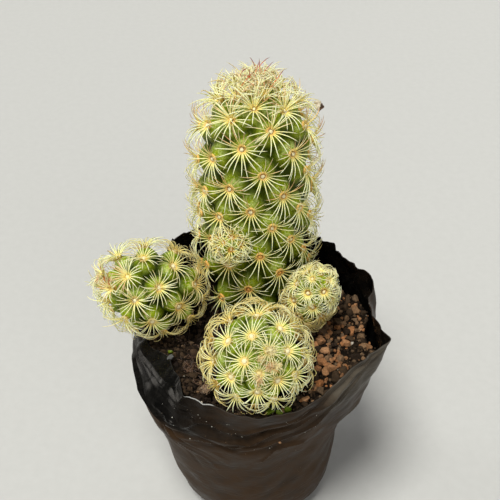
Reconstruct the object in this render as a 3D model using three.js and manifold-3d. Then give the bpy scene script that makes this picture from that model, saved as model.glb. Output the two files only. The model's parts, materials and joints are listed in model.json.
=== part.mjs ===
// Potted thimble cactus: a column and three offset heads growing in a soft black nursery bag.
// Millimetres, +Z up. The origin is the middle of the bag's flat base, and the front faces -Y.

import * as THREE from 'three';
import Module from 'manifold-3d';
import { ConvexHull } from 'three/addons/math/ConvexHull.js';
import { mergeVertices } from 'three/addons/utils/BufferGeometryUtils.js';

// Driving dimensions of the bag and the soil
const SOIL_LEVEL = 56;
const FILM = 0.8;
const GAP = 0.45;
const BAG_COLUMNS = 40;
const BASE_RADIUS = 15;
const BAND_BULGE = 0.3;
const SOIL_RINGS = 8;
const SOIL_BELOW_RIM = 1.6;
const SOIL_EDGE_DROP = 0.3;
const SOIL_EDGE_RISE = 0.9;
const GRAIN_COUNT = 12;
const GRAIN_REACH = 28;
const HOLE_SIDES = 18;
const HOLE_DEEPER = 1.3;

// Driving dimensions of the wool pads and the spines
const PAD_HEIGHT = 0.8;
const PAD_RADIUS = 1.05;
const PAD_SIDES = 5;
const SPINE_RADIUS = 0.26;
const SPINE_TO_SPINE = 0.55;
const SPINE_TO_HEAD = 1.3;
const SPINE_TO_SOIL = 1.5;
const SPINE_TO_FILM = 1.7;
const LEAST_SPACING = 2.6;
const LEAST_VALLEY = 1.6;
const VALLEY_SLOPE = 0.28;
const TWIST_STEP = 1.9;

const DEGREE = Math.PI / 180;
const GOLDEN_ANGLE = 137.508 * DEGREE;
const UP = new THREE.Vector3(0, 0, 1);
const TINY = 1e-6;

const wasm = await Module();
wasm.setup();

const COLORS = {
  film: new THREE.Color(0.035, 0.034, 0.036),
  soil: new THREE.Color(0.16, 0.1, 0.07),
  skin: new THREE.Color(0.24, 0.42, 0.13),
  pupSkin: new THREE.Color(0.36, 0.52, 0.16),
};

// Small helpers

function seededRandom(seed) {
  let state = seed;
  return () => {
    state = (state + 0x6d2b79f5) | 0;
    let value = Math.imul(state ^ (state >>> 15), 1 | state);
    value = (value + Math.imul(value ^ (value >>> 7), 61 | value)) ^ value;
    return ((value ^ (value >>> 14)) >>> 0) / 4294967296;
  };
}

const mix = (a, b, share) => a + (b - a) * share;

const smooth = (share) => share * share * (3 - 2 * share);

function meshFromTriangles(positions, indices) {
  const geometry = new THREE.BufferGeometry();
  geometry.setAttribute('position', new THREE.Float32BufferAttribute(positions, 3));
  geometry.setIndex(indices);
  return geometry;
}

function toSolid(geometry) {
  const bare = geometry.clone();
  bare.deleteAttribute('normal');
  bare.deleteAttribute('uv');
  const merged = mergeVertices(bare, 1e-4);
  return new wasm.Manifold(new wasm.Mesh({
    numProp: 3,
    vertProperties: new Float32Array(merged.attributes.position.array),
    triVerts: new Uint32Array(merged.index.array),
  }));
}

// The largest piece alone, so that hollows sealed by joining are filled and loose scraps go
function toGeometry(solid) {
  const pieces = solid.decompose().sort((a, b) => b.volume() - a.volume());
  const mesh = pieces[0].getMesh();
  return meshFromTriangles(Array.from(mesh.vertProperties), Array.from(mesh.triVerts));
}

function joinAll(solids) {
  let layer = solids;
  while (layer.length > 1) {
    const next = [];
    for (let i = 0; i < layer.length; i += 2) {
      next.push(i + 1 < layer.length ? layer[i].add(layer[i + 1]) : layer[i]);
    }
    layer = next;
  }
  return layer[0];
}

function namedMesh(name, geometry, color, roughness) {
  geometry.computeVertexNormals();
  const material = new THREE.MeshStandardMaterial({ color, roughness, metalness: 0, flatShading: true });
  const mesh = new THREE.Mesh(geometry, material);
  mesh.name = name;
  return mesh;
}

// The bag: a film tube whose outline changes with the angle, counted from +X towards +Y

// Free edge of the film: angle in degrees, distance from the axis, height
const RIM = [
  [0, 30.4, 66], [17, 31, 67], [34, 29.4, 67.5], [48, 31, 67], [70, 32.4, 65.5], [93, 33.2, 66],
  [115, 33.2, 67.5], [132, 32, 68.5], [146, 31.8, 63.5], [159, 32.4, 57.4], [172, 31.8, 56],
  [190, 29.6, 55.8], [208, 26.8, 56.8], [242, 29.6, 57.2], [265, 32.2, 56.8], [284, 31, 57.6],
  [298, 30.8, 59], [314, 30.6, 61], [328, 31.6, 63], [340, 35, 64.5], [350, 32, 65],
];

// Crease below the rim where the film turns in to the body
const CREASE = [
  [0, 31.6, 53], [48, 32, 52], [93, 33, 52], [132, 32.6, 53], [168, 33.4, 50.5], [190, 33.6, 49.5],
  [210, 33, 49.5], [230, 31.6, 47.5], [262, 29.6, 45.5], [300, 28.4, 45.5], [326, 30.6, 49], [340, 33.2, 54],
];

// Body of the bag from the base up: distance from the axis and height
const BODY = [
  [0, 0], [BASE_RADIUS, 0], [18.6, 1.4], [21.2, 5], [22.9, 12], [23.8, 21], [25.9, 32], [28.6, 40],
];

// How the body leans to one side and is pressed oval, growing to full over the first 24 mm
const BODY_SWAY = { shift: 1.7, towards: 186, oval: 0.8, ovalAngle: 40, growHeight: 24 };

// Shares of the way from the body to the crease, and from the crease to the rim
const BODY_TO_CREASE = 0.35;
const CREASE_TO_RIM = 0.55;

// The first points of the profile stay round, and so the base stays flat
const ROUND_POINTS = 3;

// Slanting folds of the slack film: angle at mid height, how far it leans per mm of height,
// width in degrees, depth (negative is a ridge), height of its middle and its reach up and down
const FOLDS = [
  [198, 0.7, 12, 1.1, 50, 9], [226, -0.9, 12, -0.9, 47, 8], [248, 0.8, 13, 1.2, 41, 14],
  [283, -0.7, 12, 1.0, 38, 16], [312, 0.9, 12, 1.3, 44, 14], [352, -0.5, 13, 1.2, 47, 15],
  [28, 0.6, 13, 1.1, 50, 16], [62, -0.6, 13, -0.8, 34, 16], [104, 0.5, 13, 1.2, 48, 18],
  [146, -0.6, 13, 1.1, 40, 15], [172, 0.4, 12, -0.8, 26, 14], [268, 0.4, 13, -0.7, 17, 12],
  [12, -0.4, 13, -0.7, 18, 12], [120, 0.3, 14, -0.6, 16, 11],
];

function foldDepth(angle, height) {
  let depth = 0;
  FOLDS.forEach(([middle, lean, width, size, level, reach]) => {
    const turn = angle - middle - lean * (height - level);
    const across = (turn - 360 * Math.round(turn / 360)) / width;
    const along = (height - level) / reach;
    depth += size * Math.exp(-across * across - along * along);
  });
  return depth;
}

function controlAt(list, angle) {
  const turn = ((angle % 360) + 360) % 360;
  const last = list.length - 1;
  let before = last;
  for (let i = 0; i <= last; i += 1) {
    if (list[i][0] <= turn) before = i;
  }
  const after = (before + 1) % list.length;
  const span = (list[after][0] - list[before][0] + 360) % 360;
  const share = smooth(((turn - list[before][0] + 360) % 360) / span);
  return {
    radius: mix(list[before][1], list[after][1], share),
    height: mix(list[before][2], list[after][2], share),
  };
}

// Points [distance, height] of the film's outer face at one angle
function bagProfile(angle) {
  const crease = controlAt(CREASE, angle);
  const rim = controlAt(RIM, angle);
  const points = BODY.map(([radius, height]) => {
    if (height === 0) return [radius, height];
    const share = Math.min(1, height / BODY_SWAY.growHeight);
    const sway = BODY_SWAY.shift * Math.cos((angle - BODY_SWAY.towards) * DEGREE);
    const oval = BODY_SWAY.oval * Math.cos(2 * (angle - BODY_SWAY.ovalAngle) * DEGREE);
    return [radius + share * (sway + oval), height];
  });
  const below = points[points.length - 1];
  points[points.length - 1] = [mix(below[0], crease.radius, BODY_TO_CREASE), below[1]];
  points.push([crease.radius, crease.height]);
  points.push([
    mix(crease.radius, rim.radius, CREASE_TO_RIM) + BAND_BULGE,
    mix(crease.height, rim.height, 0.5),
  ]);
  points.push([rim.radius, rim.height]);
  return points.map(([radius, height], i) => {
    const fold = i < ROUND_POINTS ? 0 : foldDepth(angle, height);
    return [radius - fold, height];
  });
}

function radiusOnProfile(profile, height) {
  for (let i = 2; i < profile.length; i += 1) {
    const [r0, z0] = profile[i - 1];
    const [r1, z1] = profile[i];
    if (height <= z1) return mix(r0, r1, Math.max(0, (height - z0) / (z1 - z0)));
  }
  return profile[profile.length - 1][0];
}

// Distance from the axis of a wall that stays `inset` inside the film's outer face
function insetRadius(profile, height, inset) {
  const steps = 8;
  let best = Infinity;
  for (let i = -steps; i <= steps; i += 1) {
    const dz = (inset * i) / steps;
    const reach = Math.sqrt(inset * inset - dz * dz);
    best = Math.min(best, radiusOnProfile(profile, Math.max(0, height + dz)) - reach);
  }
  return best;
}

// Closed solid from rows of points round the axis, between two poles. `rising` says which way
// the quads are split, so that a wall and what lies against it are split alike.
function solidOfRows(firstPole, rows, lastPole, rising) {
  const positions = [...firstPole];
  const indices = [];
  const columns = rows[0].length;
  rows.forEach((row) => row.forEach((point) => positions.push(...point)));
  positions.push(...lastPole);
  const last = 1 + rows.length * columns;
  const at = (row, column) => 1 + row * columns + (column % columns);
  for (let c = 0; c < columns; c += 1) {
    indices.push(0, at(0, c + 1), at(0, c));
    for (let r = 0; r + 1 < rows.length; r += 1) {
      const [a, b, d, e] = [at(r, c), at(r, c + 1), at(r + 1, c + 1), at(r + 1, c)];
      indices.push(...(rising ? [a, b, e, b, d, e] : [a, b, d, a, d, e]));
    }
    indices.push(last, at(rows.length - 1, c), at(rows.length - 1, c + 1));
  }
  return meshFromTriangles(positions, indices);
}

const bagAngles = Array.from({ length: BAG_COLUMNS }, (_, i) => (360 * i) / BAG_COLUMNS);
const bagProfiles = bagAngles.map(bagProfile);

const around = (angle, radius, height) => [
  radius * Math.cos(angle * DEGREE),
  radius * Math.sin(angle * DEGREE),
  height,
];

function makeBag() {
  const outerCount = bagProfiles[0].length;
  const rows = [];
  for (let i = 1; i < outerCount; i += 1) {
    rows.push(bagAngles.map((angle, c) => around(angle, ...bagProfiles[c][i])));
  }
  for (let i = outerCount - 1; i >= 2; i -= 1) {
    rows.push(bagAngles.map((angle, c) => {
      const height = Math.max(bagProfiles[c][i][1], FILM * 1.6);
      return around(angle, insetRadius(bagProfiles[c], height, FILM), height);
    }));
  }
  const floorRadius = BASE_RADIUS - 1;
  rows.push(bagAngles.map((angle) => around(angle, floorRadius, FILM)));
  return solidOfRows([0, 0, 0], rows, [0, 0, FILM], false);
}

// Soil: its relief is a sum of waves with seeded directions, high ones first

const WAVES = { seed: 41, count: 9, highCount: 4, highSize: 0.28, lowSize: 0.16, shortest: 5, longest: 13 };
const SOIL_HOLLOW = { x: -18, y: -14, depth: 1.2, reach: 10 };

const waveRandom = seededRandom(WAVES.seed);
const soilWaves = Array.from({ length: WAVES.count }, (_, i) => {
  const direction = waveRandom() * 2 * Math.PI;
  const length = mix(WAVES.shortest, WAVES.longest, waveRandom());
  return {
    x: (Math.cos(direction) * 2 * Math.PI) / length,
    y: (Math.sin(direction) * 2 * Math.PI) / length,
    phase: waveRandom() * 2 * Math.PI,
    size: i < WAVES.highCount ? WAVES.highSize : WAVES.lowSize,
  };
});

function soilHeight(x, y) {
  let height = SOIL_LEVEL;
  soilWaves.forEach((wave) => {
    height += wave.size * Math.sin(wave.x * x + wave.y * y + wave.phase);
  });
  const away = Math.hypot(x - SOIL_HOLLOW.x, y - SOIL_HOLLOW.y) / SOIL_HOLLOW.reach;
  return height - SOIL_HOLLOW.depth * Math.exp(-away * away);
}

// Height of the soil where it meets the film, and its distance from the axis there
function soilEdge(column) {
  const profile = bagProfiles[column];
  const inset = FILM + GAP;
  const highest = profile[profile.length - 1][1] - SOIL_BELOW_RIM;
  const guess = insetRadius(profile, Math.min(SOIL_LEVEL - SOIL_EDGE_DROP, highest), inset);
  const [x, y] = around(bagAngles[column], guess, 0);
  const height = Math.min(soilHeight(x, y) - SOIL_EDGE_DROP, highest);
  return { height, radius: insetRadius(profile, height, inset) };
}

function makeSoilBody() {
  const inset = FILM + GAP;
  const floor = FILM + GAP;
  const edges = bagAngles.map((_, c) => soilEdge(c));
  const creaseRow = bagProfiles[0].length - 3;
  const rows = [bagAngles.map((angle) => around(angle, BASE_RADIUS - 1.6, floor))];
  for (let i = 2; i <= creaseRow; i += 1) {
    rows.push(bagAngles.map((angle, c) => {
      const height = Math.max(bagProfiles[c][i][1], floor + 0.6);
      return around(angle, insetRadius(bagProfiles[c], height, inset), height);
    }));
  }
  rows.push(bagAngles.map((angle, c) => {
    const height = (bagProfiles[c][creaseRow][1] + edges[c].height) / 2;
    return around(angle, insetRadius(bagProfiles[c], height, inset), height);
  }));
  rows.push(bagAngles.map((angle, c) => around(angle, edges[c].radius, edges[c].height)));
  for (let ring = 1; ring < SOIL_RINGS; ring += 1) {
    const share = 1 - ring / SOIL_RINGS;
    rows.push(bagAngles.map((angle, c) => {
      const [x, y] = around(angle, edges[c].radius * share, 0);
      const height = soilHeight(x, y);
      return [x, y, ring === 1 ? Math.min(height, edges[c].height + SOIL_EDGE_RISE) : height];
    }));
  }
  return solidOfRows([0, 0, floor], rows, [0, 0, soilHeight(0, 0)], true);
}

// A cactus head is a surface of revolution with conical tubercles in golden-angle order.
// Its profile is [distance from its axis, height along its axis] from the apex to the root end.

function columnProfile(spec) {
  const points = [];
  const domeSteps = 14;
  for (let i = 0; i <= domeSteps; i += 1) {
    const turn = (Math.PI / 2) * (i / domeSteps);
    const side = Math.pow(Math.sin(turn), spec.domePower);
    const top = Math.pow(Math.max(0, Math.cos(turn)), spec.domePower);
    points.push([spec.radius * side, spec.shoulder + (spec.apex - spec.shoulder) * top]);
  }
  const sideSteps = 12;
  for (let i = 1; i <= sideSteps; i += 1) {
    const share = i / sideSteps;
    const bulge = spec.bulge * Math.sin(Math.PI * share) - spec.baseTaper * share * share * share;
    points.push([spec.radius + bulge, spec.shoulder * (1 - share)]);
  }
  points.push([spec.rootRadius, -spec.rootDepth]);
  points.push([0, -spec.rootDepth - 1]);
  return points;
}

function headProfile(spec) {
  const points = [];
  const steps = 26;
  const end = Math.PI - Math.asin(Math.min(1, spec.neckRadius / spec.radius));
  for (let i = 0; i <= steps; i += 1) {
    const turn = end * (i / steps);
    points.push([spec.radius * Math.sin(turn), spec.halfLength * Math.cos(turn)]);
  }
  points.push([spec.neckRadius * 0.9, -spec.halfLength - spec.neckLength]);
  points.push([0, -spec.halfLength - spec.neckLength - 0.3]);
  return points;
}

// Profile measured along its length, with the running integral that maps it to a sphere
function measureProfile(points) {
  const samples = [];
  const step = 0.25;
  let length = 0;
  for (let i = 1; i < points.length; i += 1) {
    const [r0, h0] = points[i - 1];
    const [r1, h1] = points[i];
    const span = Math.hypot(r1 - r0, h1 - h0);
    const pieces = Math.max(1, Math.ceil(span / step));
    for (let k = 0; k < pieces; k += 1) {
      const share = k / pieces;
      samples.push({ length: length + span * share, radius: mix(r0, r1, share), height: mix(h0, h1, share) });
    }
    length += span;
  }
  samples.push({ length, radius: points[points.length - 1][0], height: points[points.length - 1][1] });
  let sum = 0;
  samples.forEach((sample, i) => {
    if (i > 0) {
      const middle = Math.max(0.05, (sample.radius + samples[i - 1].radius) / 2);
      sum += (sample.length - samples[i - 1].length) / middle;
    }
    sample.stretch = sum;
  });
  return { samples, length };
}

function onProfile(measured, length) {
  const { samples } = measured;
  const clamped = Math.min(Math.max(length, 0), measured.length - TINY);
  let low = 0;
  let high = samples.length - 1;
  while (high - low > 1) {
    const middle = (low + high) >> 1;
    if (samples[middle].length <= clamped) low = middle;
    else high = middle;
  }
  const a = samples[low];
  const b = samples[high];
  const span = Math.max(TINY, b.length - a.length);
  const share = (clamped - a.length) / span;
  return {
    radius: mix(a.radius, b.radius, share),
    height: mix(a.height, b.height, share),
    stretch: mix(a.stretch, b.stretch, share),
    outward: (a.height - b.height) / span,
    upward: (b.radius - a.radius) / span,
  };
}

function lengthAtHeight(measured, height) {
  const found = measured.samples.find((sample) => sample.height <= height);
  return found.length;
}

// Position and frame of the surface point at an angle and a length along the profile
function surfacePoint(head, angle, length) {
  const p = onProfile(head.measured, length);
  const radial = head.front.clone().multiplyScalar(Math.cos(angle))
    .addScaledVector(head.side, Math.sin(angle));
  const point = head.origin.clone().addScaledVector(radial, p.radius).addScaledVector(head.axis, p.height);
  const normal = radial.clone().multiplyScalar(p.outward).addScaledVector(head.axis, p.upward).normalize();
  const across = new THREE.Vector3().crossVectors(head.axis, radial).normalize();
  const down = new THREE.Vector3().crossVectors(across, normal).negate().normalize();
  return { point, normal, across, down, radius: p.radius, stretch: p.stretch };
}

// The areoles of a head, youngest first: [angle, length along the profile]
function areolesOfColumn(head) {
  const { spec, measured } = head;
  const areoles = [];
  const shoulderLength = lengthAtHeight(measured, spec.shoulder);
  for (let j = 1; j < spec.count; j += 1) {
    const older = j - spec.youngCount;
    const share = Math.max(0, older) / spec.riseSpan;
    const bend = spec.riseBend * share ** 2 + spec.riseTwist * share ** 3;
    const drop = spec.rise * older + spec.riseSpan * bend;
    const atShoulder = spec.youngCount + spec.shoulderIndex;
    const length = j < atShoulder
      ? shoulderLength * Math.pow(j / atShoulder, spec.youngPower)
      : shoulderLength + (drop - spec.shoulderDrop);
    areoles.push([spec.startAngle + older * spec.divergence, length]);
  }
  return areoles;
}

function areolesOfHead(head) {
  const { spec, measured } = head;
  const areoles = [];
  for (let j = 0; j < Math.floor(spec.fullCount * spec.coverShare); j += 1) {
    const cosine = 1 - 2 * Math.pow((j + 0.5) / spec.fullCount, spec.youngPower);
    const length = lengthAtHeight(measured, spec.halfLength * cosine);
    areoles.push([spec.startAngle - j * GOLDEN_ANGLE, length]);
  }
  return areoles;
}

function makeHeadFrame(spec) {
  const axis = new THREE.Vector3(...spec.axis).normalize();
  const front = spec.front
    ? new THREE.Vector3(...spec.front).projectOnPlane(axis).normalize()
    : new THREE.Vector3().crossVectors(UP, axis).normalize();
  const side = new THREE.Vector3().crossVectors(axis, front).normalize();
  const profile = spec.shoulder ? columnProfile(spec) : headProfile(spec);
  const head = { spec, axis, front, side, profile };
  head.origin = new THREE.Vector3(...spec.origin);
  head.measured = measureProfile(profile);
  const placed = spec.shoulder ? areolesOfColumn(head) : areolesOfHead(head);
  const keepLength = head.measured.length - (spec.bareLength || 6);
  head.areoles = [];
  placed.reverse().forEach(([angle, length], order) => {
    const surface = surfacePoint(head, angle, length);
    const crowded = head.areoles.some((other) => other.point.distanceTo(surface.point) < LEAST_SPACING);
    const twist = (order * TWIST_STEP) % (2 * Math.PI);
    if (length < keepLength && !crowded) head.areoles.push({ angle, length, twist, ...surface });
  });
  head.areoles.forEach((areole) => {
    const distances = head.areoles.filter((other) => other !== areole)
      .map((other) => other.point.distanceTo(areole.point)).sort((a, b) => a - b);
    areole.spacing = (distances[0] + distances[1] + distances[2]) / 3;
  });
  return head;
}

// Place on the unit sphere that keeps the surface's shape nearly true in small
function onSphere(head, angle, length, middle, jitter) {
  const { stretch } = onProfile(head.measured, length);
  const polar = 2 * Math.atan(Math.exp(stretch - middle)) + jitter() * 1e-5;
  const turn = angle + jitter() * 1e-5;
  return new THREE.Vector3(
    Math.sin(polar) * Math.cos(turn),
    Math.sin(polar) * Math.sin(turn),
    Math.cos(polar),
  );
}

function hullTriangles(points) {
  const hull = new ConvexHull().setFromPoints(points);
  const order = new Map(points.map((point, i) => [point, i]));
  return hull.faces.map((face) => {
    const corners = [];
    let edge = face.edge;
    do {
      corners.push(order.get(edge.head().point));
      edge = edge.next;
    } while (edge !== face.edge);
    return corners;
  });
}

function nudge(surface, across, down) {
  const radius = Math.max(surface.radius, 0.8);
  return { angle: surface.angle + across / radius, length: surface.length + down };
}

function makeHeadBody(head) {
  const { spec, measured } = head;
  const jitter = seededRandom(spec.seed);
  const middle = onProfile(measured, measured.length / 2).stretch;
  const centres = head.areoles.map((areole) => onSphere(head, areole.angle, areole.length, middle, jitter));
  const placed = [];
  const add = (angle, length, lift) => {
    const surface = surfacePoint(head, angle, length);
    placed.push({
      flat: onSphere(head, angle, length, middle, jitter),
      point: surface.point.addScaledVector(surface.normal, lift),
    });
  };
  // Pads of wool on the tubercle tips
  head.areoles.forEach((areole) => {
    for (let i = 0; i < PAD_SIDES; i += 1) {
      const turn = areole.twist + (2 * Math.PI * i) / PAD_SIDES;
      const corner = nudge(areole, PAD_RADIUS * Math.cos(turn), PAD_RADIUS * Math.sin(turn));
      add(corner.angle, corner.length, 0);
    }
    add(areole.angle, areole.length, PAD_HEIGHT);
  });
  // Root end below the lowest areoles
  spec.bareRings.forEach(([fromEnd, corners]) => {
    for (let i = 0; i < corners; i += 1) {
      add((2 * Math.PI * i) / corners, measured.length - fromEnd, 0);
    }
  });
  // Valleys where three tubercles meet, down to just above the bare root end
  const lowest = measured.length - spec.bareRings[0][0] - 1.5;
  hullTriangles(centres).forEach(([a, b, c]) => {
    const corners = [head.areoles[a], head.areoles[b], head.areoles[c]];
    const length = (corners[0].length + corners[1].length + corners[2].length) / 3;
    const spread = Math.max(
      corners[0].point.distanceTo(corners[1].point),
      corners[1].point.distanceTo(corners[2].point),
      corners[2].point.distanceTo(corners[0].point),
    );
    if (length > lowest || spread < LEAST_VALLEY) return;
    const x = corners.reduce((sum, corner) => sum + Math.cos(corner.angle), 0);
    const y = corners.reduce((sum, corner) => sum + Math.sin(corner.angle), 0);
    add(Math.atan2(y, x), length, -Math.min(spec.relief, spread * VALLEY_SLOPE));
  });
  const triangles = hullTriangles(placed.map((vertex) => vertex.flat));
  const positions = placed.flatMap((vertex) => vertex.point.toArray());
  return meshFromTriangles(positions, triangles.flat());
}

function distanceToOutline(outline, radius, height) {
  let best = Infinity;
  for (let i = 1; i < outline.length; i += 1) {
    const [r0, h0] = outline[i - 1];
    const [r1, h1] = outline[i];
    const span = (r1 - r0) ** 2 + (h1 - h0) ** 2;
    const along = Math.min(1, Math.max(0, ((radius - r0) * (r1 - r0) + (height - h0) * (h1 - h0)) / span));
    best = Math.min(best, Math.hypot(radius - mix(r0, r1, along), height - mix(h0, h1, along)));
  }
  return best;
}

// Signed distance from a point to a head's plain profile, positive outside
function distanceToHead(head, point) {
  const local = point.clone().sub(head.origin);
  const height = local.dot(head.axis);
  const radius = local.addScaledVector(head.axis, -height).length();
  let inside = false;
  for (let i = 1; i < head.profile.length; i += 1) {
    const [r0, h0] = head.profile[i - 1];
    const [r1, h1] = head.profile[i];
    if (height <= h0 && height > h1 && radius < mix(r0, r1, (h0 - height) / (h0 - h1))) inside = true;
  }
  const distance = distanceToOutline(head.profile, radius, height);
  return inside ? -distance : distance;
}

function clearOfPot(point) {
  const radius = Math.hypot(point.x, point.y);
  const profile = bagProfile(Math.atan2(point.y, point.x) / DEGREE);
  const wall = radiusOnProfile(profile, point.z);
  const inPot = radius < wall && point.z < soilHeight(point.x, point.y) + SPINE_TO_SOIL;
  return !inPot && distanceToOutline(profile, radius, point.z) > SPINE_TO_FILM;
}

function distanceBetween(a, b) {
  const u = a.tip.clone().sub(a.root);
  const v = b.tip.clone().sub(b.root);
  const w = a.root.clone().sub(b.root);
  const uu = u.dot(u);
  const uv = u.dot(v);
  const vv = v.dot(v);
  const uw = u.dot(w);
  const vw = v.dot(w);
  const det = uu * vv - uv * uv;
  const clamp = (value) => Math.min(1, Math.max(0, value));
  let s = det > TINY ? clamp((uv * vw - vv * uw) / det) : 0.5;
  const t = clamp((uv * s + vw) / vv);
  s = clamp((uv * t - uw) / uu);
  return w.addScaledVector(u, s).addScaledVector(v, -t).length();
}

// A spine is clear when it misses the pot, the soil, the other heads and their spines
function spineIsClear(spine, otherHeads, otherSpines) {
  const shares = [0.3, 0.5, 0.7, 0.85, 1];
  return shares.every((share) => {
    const point = spine.root.clone().lerp(spine.tip, share);
    return clearOfPot(point) && otherHeads.every((other) => distanceToHead(other, point) > SPINE_TO_HEAD);
  }) && otherSpines.every((other) => distanceBetween(spine, other) > SPINE_TO_SPINE);
}

function needle({ root, tip }) {
  const direction = tip.clone().sub(root).normalize();
  const helper = Math.abs(direction.z) < 0.9 ? UP : new THREE.Vector3(1, 0, 0);
  const side = new THREE.Vector3().crossVectors(direction, helper).normalize();
  const other = new THREE.Vector3().crossVectors(direction, side);
  const positions = [];
  for (let i = 0; i < 3; i += 1) {
    const turn = (2 * Math.PI * i) / 3;
    const corner = root.clone().addScaledVector(side, SPINE_RADIUS * Math.cos(turn))
      .addScaledVector(other, SPINE_RADIUS * Math.sin(turn));
    positions.push(...corner.toArray());
  }
  positions.push(...tip.toArray());
  return meshFromTriangles(positions, [0, 2, 1, 0, 1, 3, 1, 2, 3, 2, 0, 3]);
}

// Spines leave through the flanks of the wool pads. Young ones are shorter and stand up more,
// and one that would meet something is tried again bent further up, or else left out.
const SPINE_BENDS = [0, 14, 28, 44];

function placeSpines(head, otherHeads, otherSpines) {
  const { spec } = head;
  const random = seededRandom(spec.seed + 7);
  const kept = [];
  head.areoles.forEach((areole) => {
    const grown = Math.min(1, areole.spacing / spec.matureSpacing);
    const fromAreole = [];
    for (let i = 0; i < PAD_SIDES; i += 1) {
      const turn = areole.twist + (2 * Math.PI * (i + 0.5 + 0.12 * (random() - 0.5))) / PAD_SIDES;
      const lean = spec.spineLean + 10 * (random() - 0.5) + 25 * (1 - grown);
      const length = spec.spineLength * mix(0.75, 1, grown) * mix(0.88, 1.08, random());
      for (const bend of SPINE_BENDS) {
        const rise = (lean + bend) * DEGREE;
        const direction = areole.across.clone().multiplyScalar(Math.cos(turn))
          .addScaledVector(areole.down, Math.sin(turn)).multiplyScalar(Math.cos(rise))
          .addScaledVector(areole.normal, Math.sin(rise));
        const root = areole.point.clone().addScaledVector(direction, 0.1);
        const spine = { root, tip: root.clone().addScaledVector(direction, length) };
        if (spineIsClear(spine, otherHeads, [...otherSpines, ...kept])) {
          fromAreole.push(spine);
          break;
        }
      }
    }
    kept.push(...fromAreole);
  });
  return kept;
}

// The heads

const COLUMN = {
  name: 'main_stem',
  seed: 11,
  origin: [-0.5, 15.9, SOIL_LEVEL],
  axis: [-0.003, 0.0445, 1],
  front: [0, -1, 0],
  radius: 14,
  apex: 59.6,
  shoulder: 45.9,
  domePower: 1.02,
  bulge: 0.7,
  baseTaper: 0.6,
  rootRadius: 10.5,
  rootDepth: 8,
  bareLength: 21,
  bareRings: [[18.6, 12], [12.2, 9]],
  count: 96,
  youngCount: 22,
  youngPower: 1.3,
  shoulderIndex: 10.6,
  shoulderDrop: 12.08,
  startAngle: 18.9 * DEGREE,
  divergence: 137.577 * DEGREE,
  rise: 1.295,
  riseSpan: 65,
  riseBend: -1.299,
  riseTwist: 0.81,
  relief: 2.4,
  spineLength: 5.6,
  spineLean: 19,
  matureSpacing: 6.5,
};

const LEFT_HEAD = {
  name: 'pup_left',
  seed: 23,
  origin: [-26.3, 2.5, 67.6],
  axis: [-0.653, -0.493, 0.574],
  radius: 10.9,
  halfLength: 14,
  neckRadius: 4,
  neckLength: 1.6,
  bareLength: 7,
  bareRings: [[5.2, 9]],
  fullCount: 33.9,
  coverShare: 0.94,
  youngPower: 1.19,
  startAngle: 5.618,
  relief: 1.7,
  spineLength: 5.4,
  spineLean: 25,
  matureSpacing: 6,
};

const FRONT_HEAD = {
  name: 'pup_front',
  seed: 31,
  origin: [0, -18.1, 63.6],
  axis: [0.173, -0.808, 0.562],
  radius: 11.2,
  halfLength: 12.2,
  neckRadius: 4.2,
  neckLength: 2.5,
  bareLength: 8,
  bareRings: [[6.6, 9]],
  fullCount: 35.4,
  coverShare: 0.94,
  youngPower: 1.42,
  startAngle: 6.135,
  relief: 1.7,
  spineLength: 5.4,
  spineLean: 25,
  matureSpacing: 6,
};

const RIGHT_HEAD = {
  name: 'pup_right',
  seed: 47,
  origin: [13.6, -0.4, 65.6],
  axis: [0.3, -0.25, 0.92],
  radius: 5.9,
  halfLength: 9,
  neckRadius: 3,
  neckLength: 3,
  bareLength: 6,
  bareRings: [[5.2, 7]],
  fullCount: 25,
  coverShare: 0.9,
  youngPower: 1.2,
  startAngle: 1.2,
  relief: 1.1,
  spineLength: 3.8,
  spineLean: 28,
  matureSpacing: 4.4,
};

const TINY_HEAD = {
  name: 'pup_tiny',
  seed: 59,
  origin: [-6.6, 3.4, 81],
  axis: [-0.35, -0.8, 0.45],
  radius: 3.4,
  halfLength: 3.8,
  neckRadius: 1.6,
  neckLength: 1.4,
  bareLength: 3,
  bareRings: [[1.8, 6]],
  fullCount: 16,
  coverShare: 0.75,
  youngPower: 1.1,
  startAngle: 2.1,
  relief: 0.5,
  spineLength: 2.9,
  spineLean: 32,
  matureSpacing: 2.6,
};

const column = makeHeadFrame(COLUMN);
const tinyHead = makeHeadFrame(TINY_HEAD);
const pups = [LEFT_HEAD, FRONT_HEAD, RIGHT_HEAD].map(makeHeadFrame);
const heads = [column, ...pups];

// Spines are placed head by head, so later heads stay clear of earlier ones
const spinesPlaced = [];
const headSolids = heads.map((head) => {
  const others = heads.filter((other) => other !== head);
  const ownSpines = placeSpines(head, others, spinesPlaced);
  const parts = [toSolid(makeHeadBody(head))];
  if (head === column) {
    const tinySpines = placeSpines(tinyHead, pups, []);
    ownSpines.push(...tinySpines);
    parts.push(toSolid(makeHeadBody(tinyHead)));
  }
  spinesPlaced.push(...ownSpines);
  return joinAll([...parts, ...ownSpines.map((spine) => toSolid(needle(spine)))]);
});

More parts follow.
